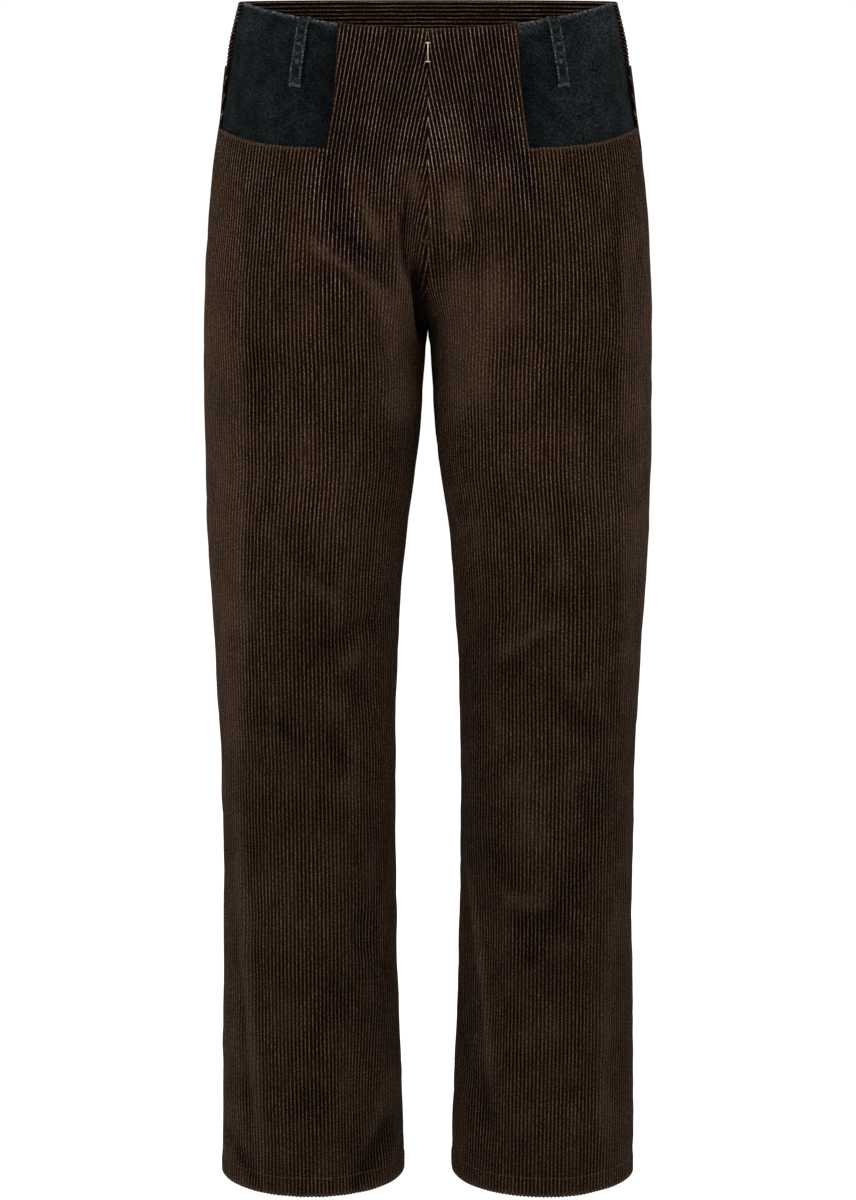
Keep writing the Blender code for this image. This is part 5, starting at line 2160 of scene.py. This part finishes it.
@dataclass
class Studio:
    """A plain pale floor, soft light from both sides and above, and the camera of the photograph."""

    floor_height: float = -1.07
    floor_half: float = 40.0
    aim_height: float = -0.45
    surround: float = 0.32
    backdrop: float = 1.02
    camera_y: float = -2.8
    camera_z: float = 0.07887
    tilt: float = 11.445227
    lens: float = 97.152

    def _area(self, name: str, place: tuple, size: tuple, watts: float) -> None:
        """A rectangular soft light that faces the middle of the trousers.

        Args:
            name: Its name.
            place: Where it stands, in metres.
            size: Its width and height.
            watts: Its power.
        """
        light = bpy.data.lights.new(name, "AREA")
        light.shape = "RECTANGLE"
        light.size, light.size_y = size
        light.energy = watts
        made = bpy.data.objects.new(name, light)
        made.location = place
        toward = np.array([0.0, 0.0, self.aim_height]) - np.array(place)
        flat = math.hypot(toward[0], toward[1])
        made.rotation_euler = (math.atan2(flat, -toward[2]), 0.0, math.atan2(-toward[0], toward[1]))
        bpy.context.scene.collection.objects.link(made)

    def build(self) -> None:
        """Floor, lights, world and camera."""
        scene = bpy.context.scene
        graph = Graph("pale floor")
        speck = graph.noise(graph.object_place(), 30.0)
        colour = graph.mix(speck, (0.30, 0.30, 0.30), (0.34, 0.34, 0.34))
        fixed = {"Roughness": 0.9, "Specular IOR Level": 0.1, "Emission Strength": 0.93}
        fixed["Emission Color"] = (1.0, 1.0, 1.0, 1.0)
        floor = graph.finish(colour, None, fixed)
        edge = self.floor_half
        corners = np.array([[-edge, -edge, 0], [edge, -edge, 0], [edge, edge, 0], [-edge, edge, 0]])
        made = make_object("floor", corners + (0, 0, self.floor_height), np.array([[0, 1, 2, 3]]), [floor])
        self._area("key", (-1.5, -1.9, 0.9), (0.8, 1.2), 37.0)
        self._area("fill", (1.9, -1.6, 0.3), (1.1, 2.0), 20.0)
        self._area("top", (0.2, -1.1, 2.2), (1.4, 0.8), 26.0)
        self._area("side left", (-2.1, 0.5, -0.3), (1.0, 2.2), 20.0)
        self._area("side right", (2.1, 0.5, -0.3), (1.0, 2.2), 13.0)
        self._area("rear", (0.3, 2.5, 0.9), (1.6, 1.6), 44.0)
        self._world(scene)
        scene.view_settings.view_transform = "Standard"
        camera = bpy.data.cameras.new("camera")
        camera.lens = self.lens
        camera.sensor_width = 36.0
        made = bpy.data.objects.new("camera", camera)
        made.location = (0.0, self.camera_y, self.camera_z)
        made.rotation_euler = (math.radians(90.0 - self.tilt), 0.0, 0.0)
        scene.collection.objects.link(made)
        scene.camera = made

    def _world(self, scene: bpy.types.Scene) -> None:
        """A white surround that lights the cloth at a lower strength than the camera sees.

        Args:
            scene: The scene to light.
        """
        world = bpy.data.worlds.new("studio")
        scene.world = world
        world.use_nodes = True
        tree = world.node_tree
        ray = tree.nodes.new("ShaderNodeLightPath")
        mix = tree.nodes.new("ShaderNodeMixShader")
        soft = tree.nodes["Background"]
        seen = tree.nodes.new("ShaderNodeBackground")
        for shader, strength in ((soft, self.surround), (seen, self.backdrop)):
            shader.inputs["Color"].default_value = (1.0, 1.0, 1.0, 1.0)
            shader.inputs["Strength"].default_value = strength
        tree.links.new(ray.outputs["Is Camera Ray"], mix.inputs[0])
        tree.links.new(soft.outputs[0], mix.inputs[1])
        tree.links.new(seen.outputs[0], mix.inputs[2])
        tree.links.new(mix.outputs[0], tree.nodes["World Output"].inputs["Surface"])


LOOPS = (
    BeltLoop("belt_loop_front_left", F, 1, 103, 20.5, 112.5, -37, HIP_LAYER, HIP_LAYER),
    BeltLoop("belt_loop_front_right", F, -1, 102, 20.5, 110.5, -37, HIP_LAYER, HIP_LAYER),
    BeltLoop("belt_loop_back_left", B, 1, 92, 29.5, 94, -30, 0.4, 0.4 + BACK_PROUD),
    BeltLoop("belt_loop_back_right", B, -1, 92, 29.5, 94, -30, 0.4, 0.4 + BACK_PROUD),
    BeltLoop("belt_loop_back_centre", B, 1, 0, 29.5, 0, -30, 0.4, 0.4 + BACK_PROUD),
)


def main() -> None:
    """Build every piece in order, then the studio."""
    logging.basicConfig(level=logging.INFO, format="%(message)s")
    finishes = Finishes.make()
    for leg, word in ((1, "left"), (-1, "right")):
        FrontPanel(leg, f"front_{word}").build(finishes)
        BackPanel(leg, f"back_{word}").build(finishes)
        HipPanel(leg, f"hip_panel_{word}").build(finishes)
    Waistband().build(finishes)
    FlyShield().build(finishes)
    FlyBar().build(finishes)
    for loop in LOOPS:
        loop.build(finishes)
    Stitching().build(finishes)
    Studio().build()


if __name__ == "__main__":
    main()
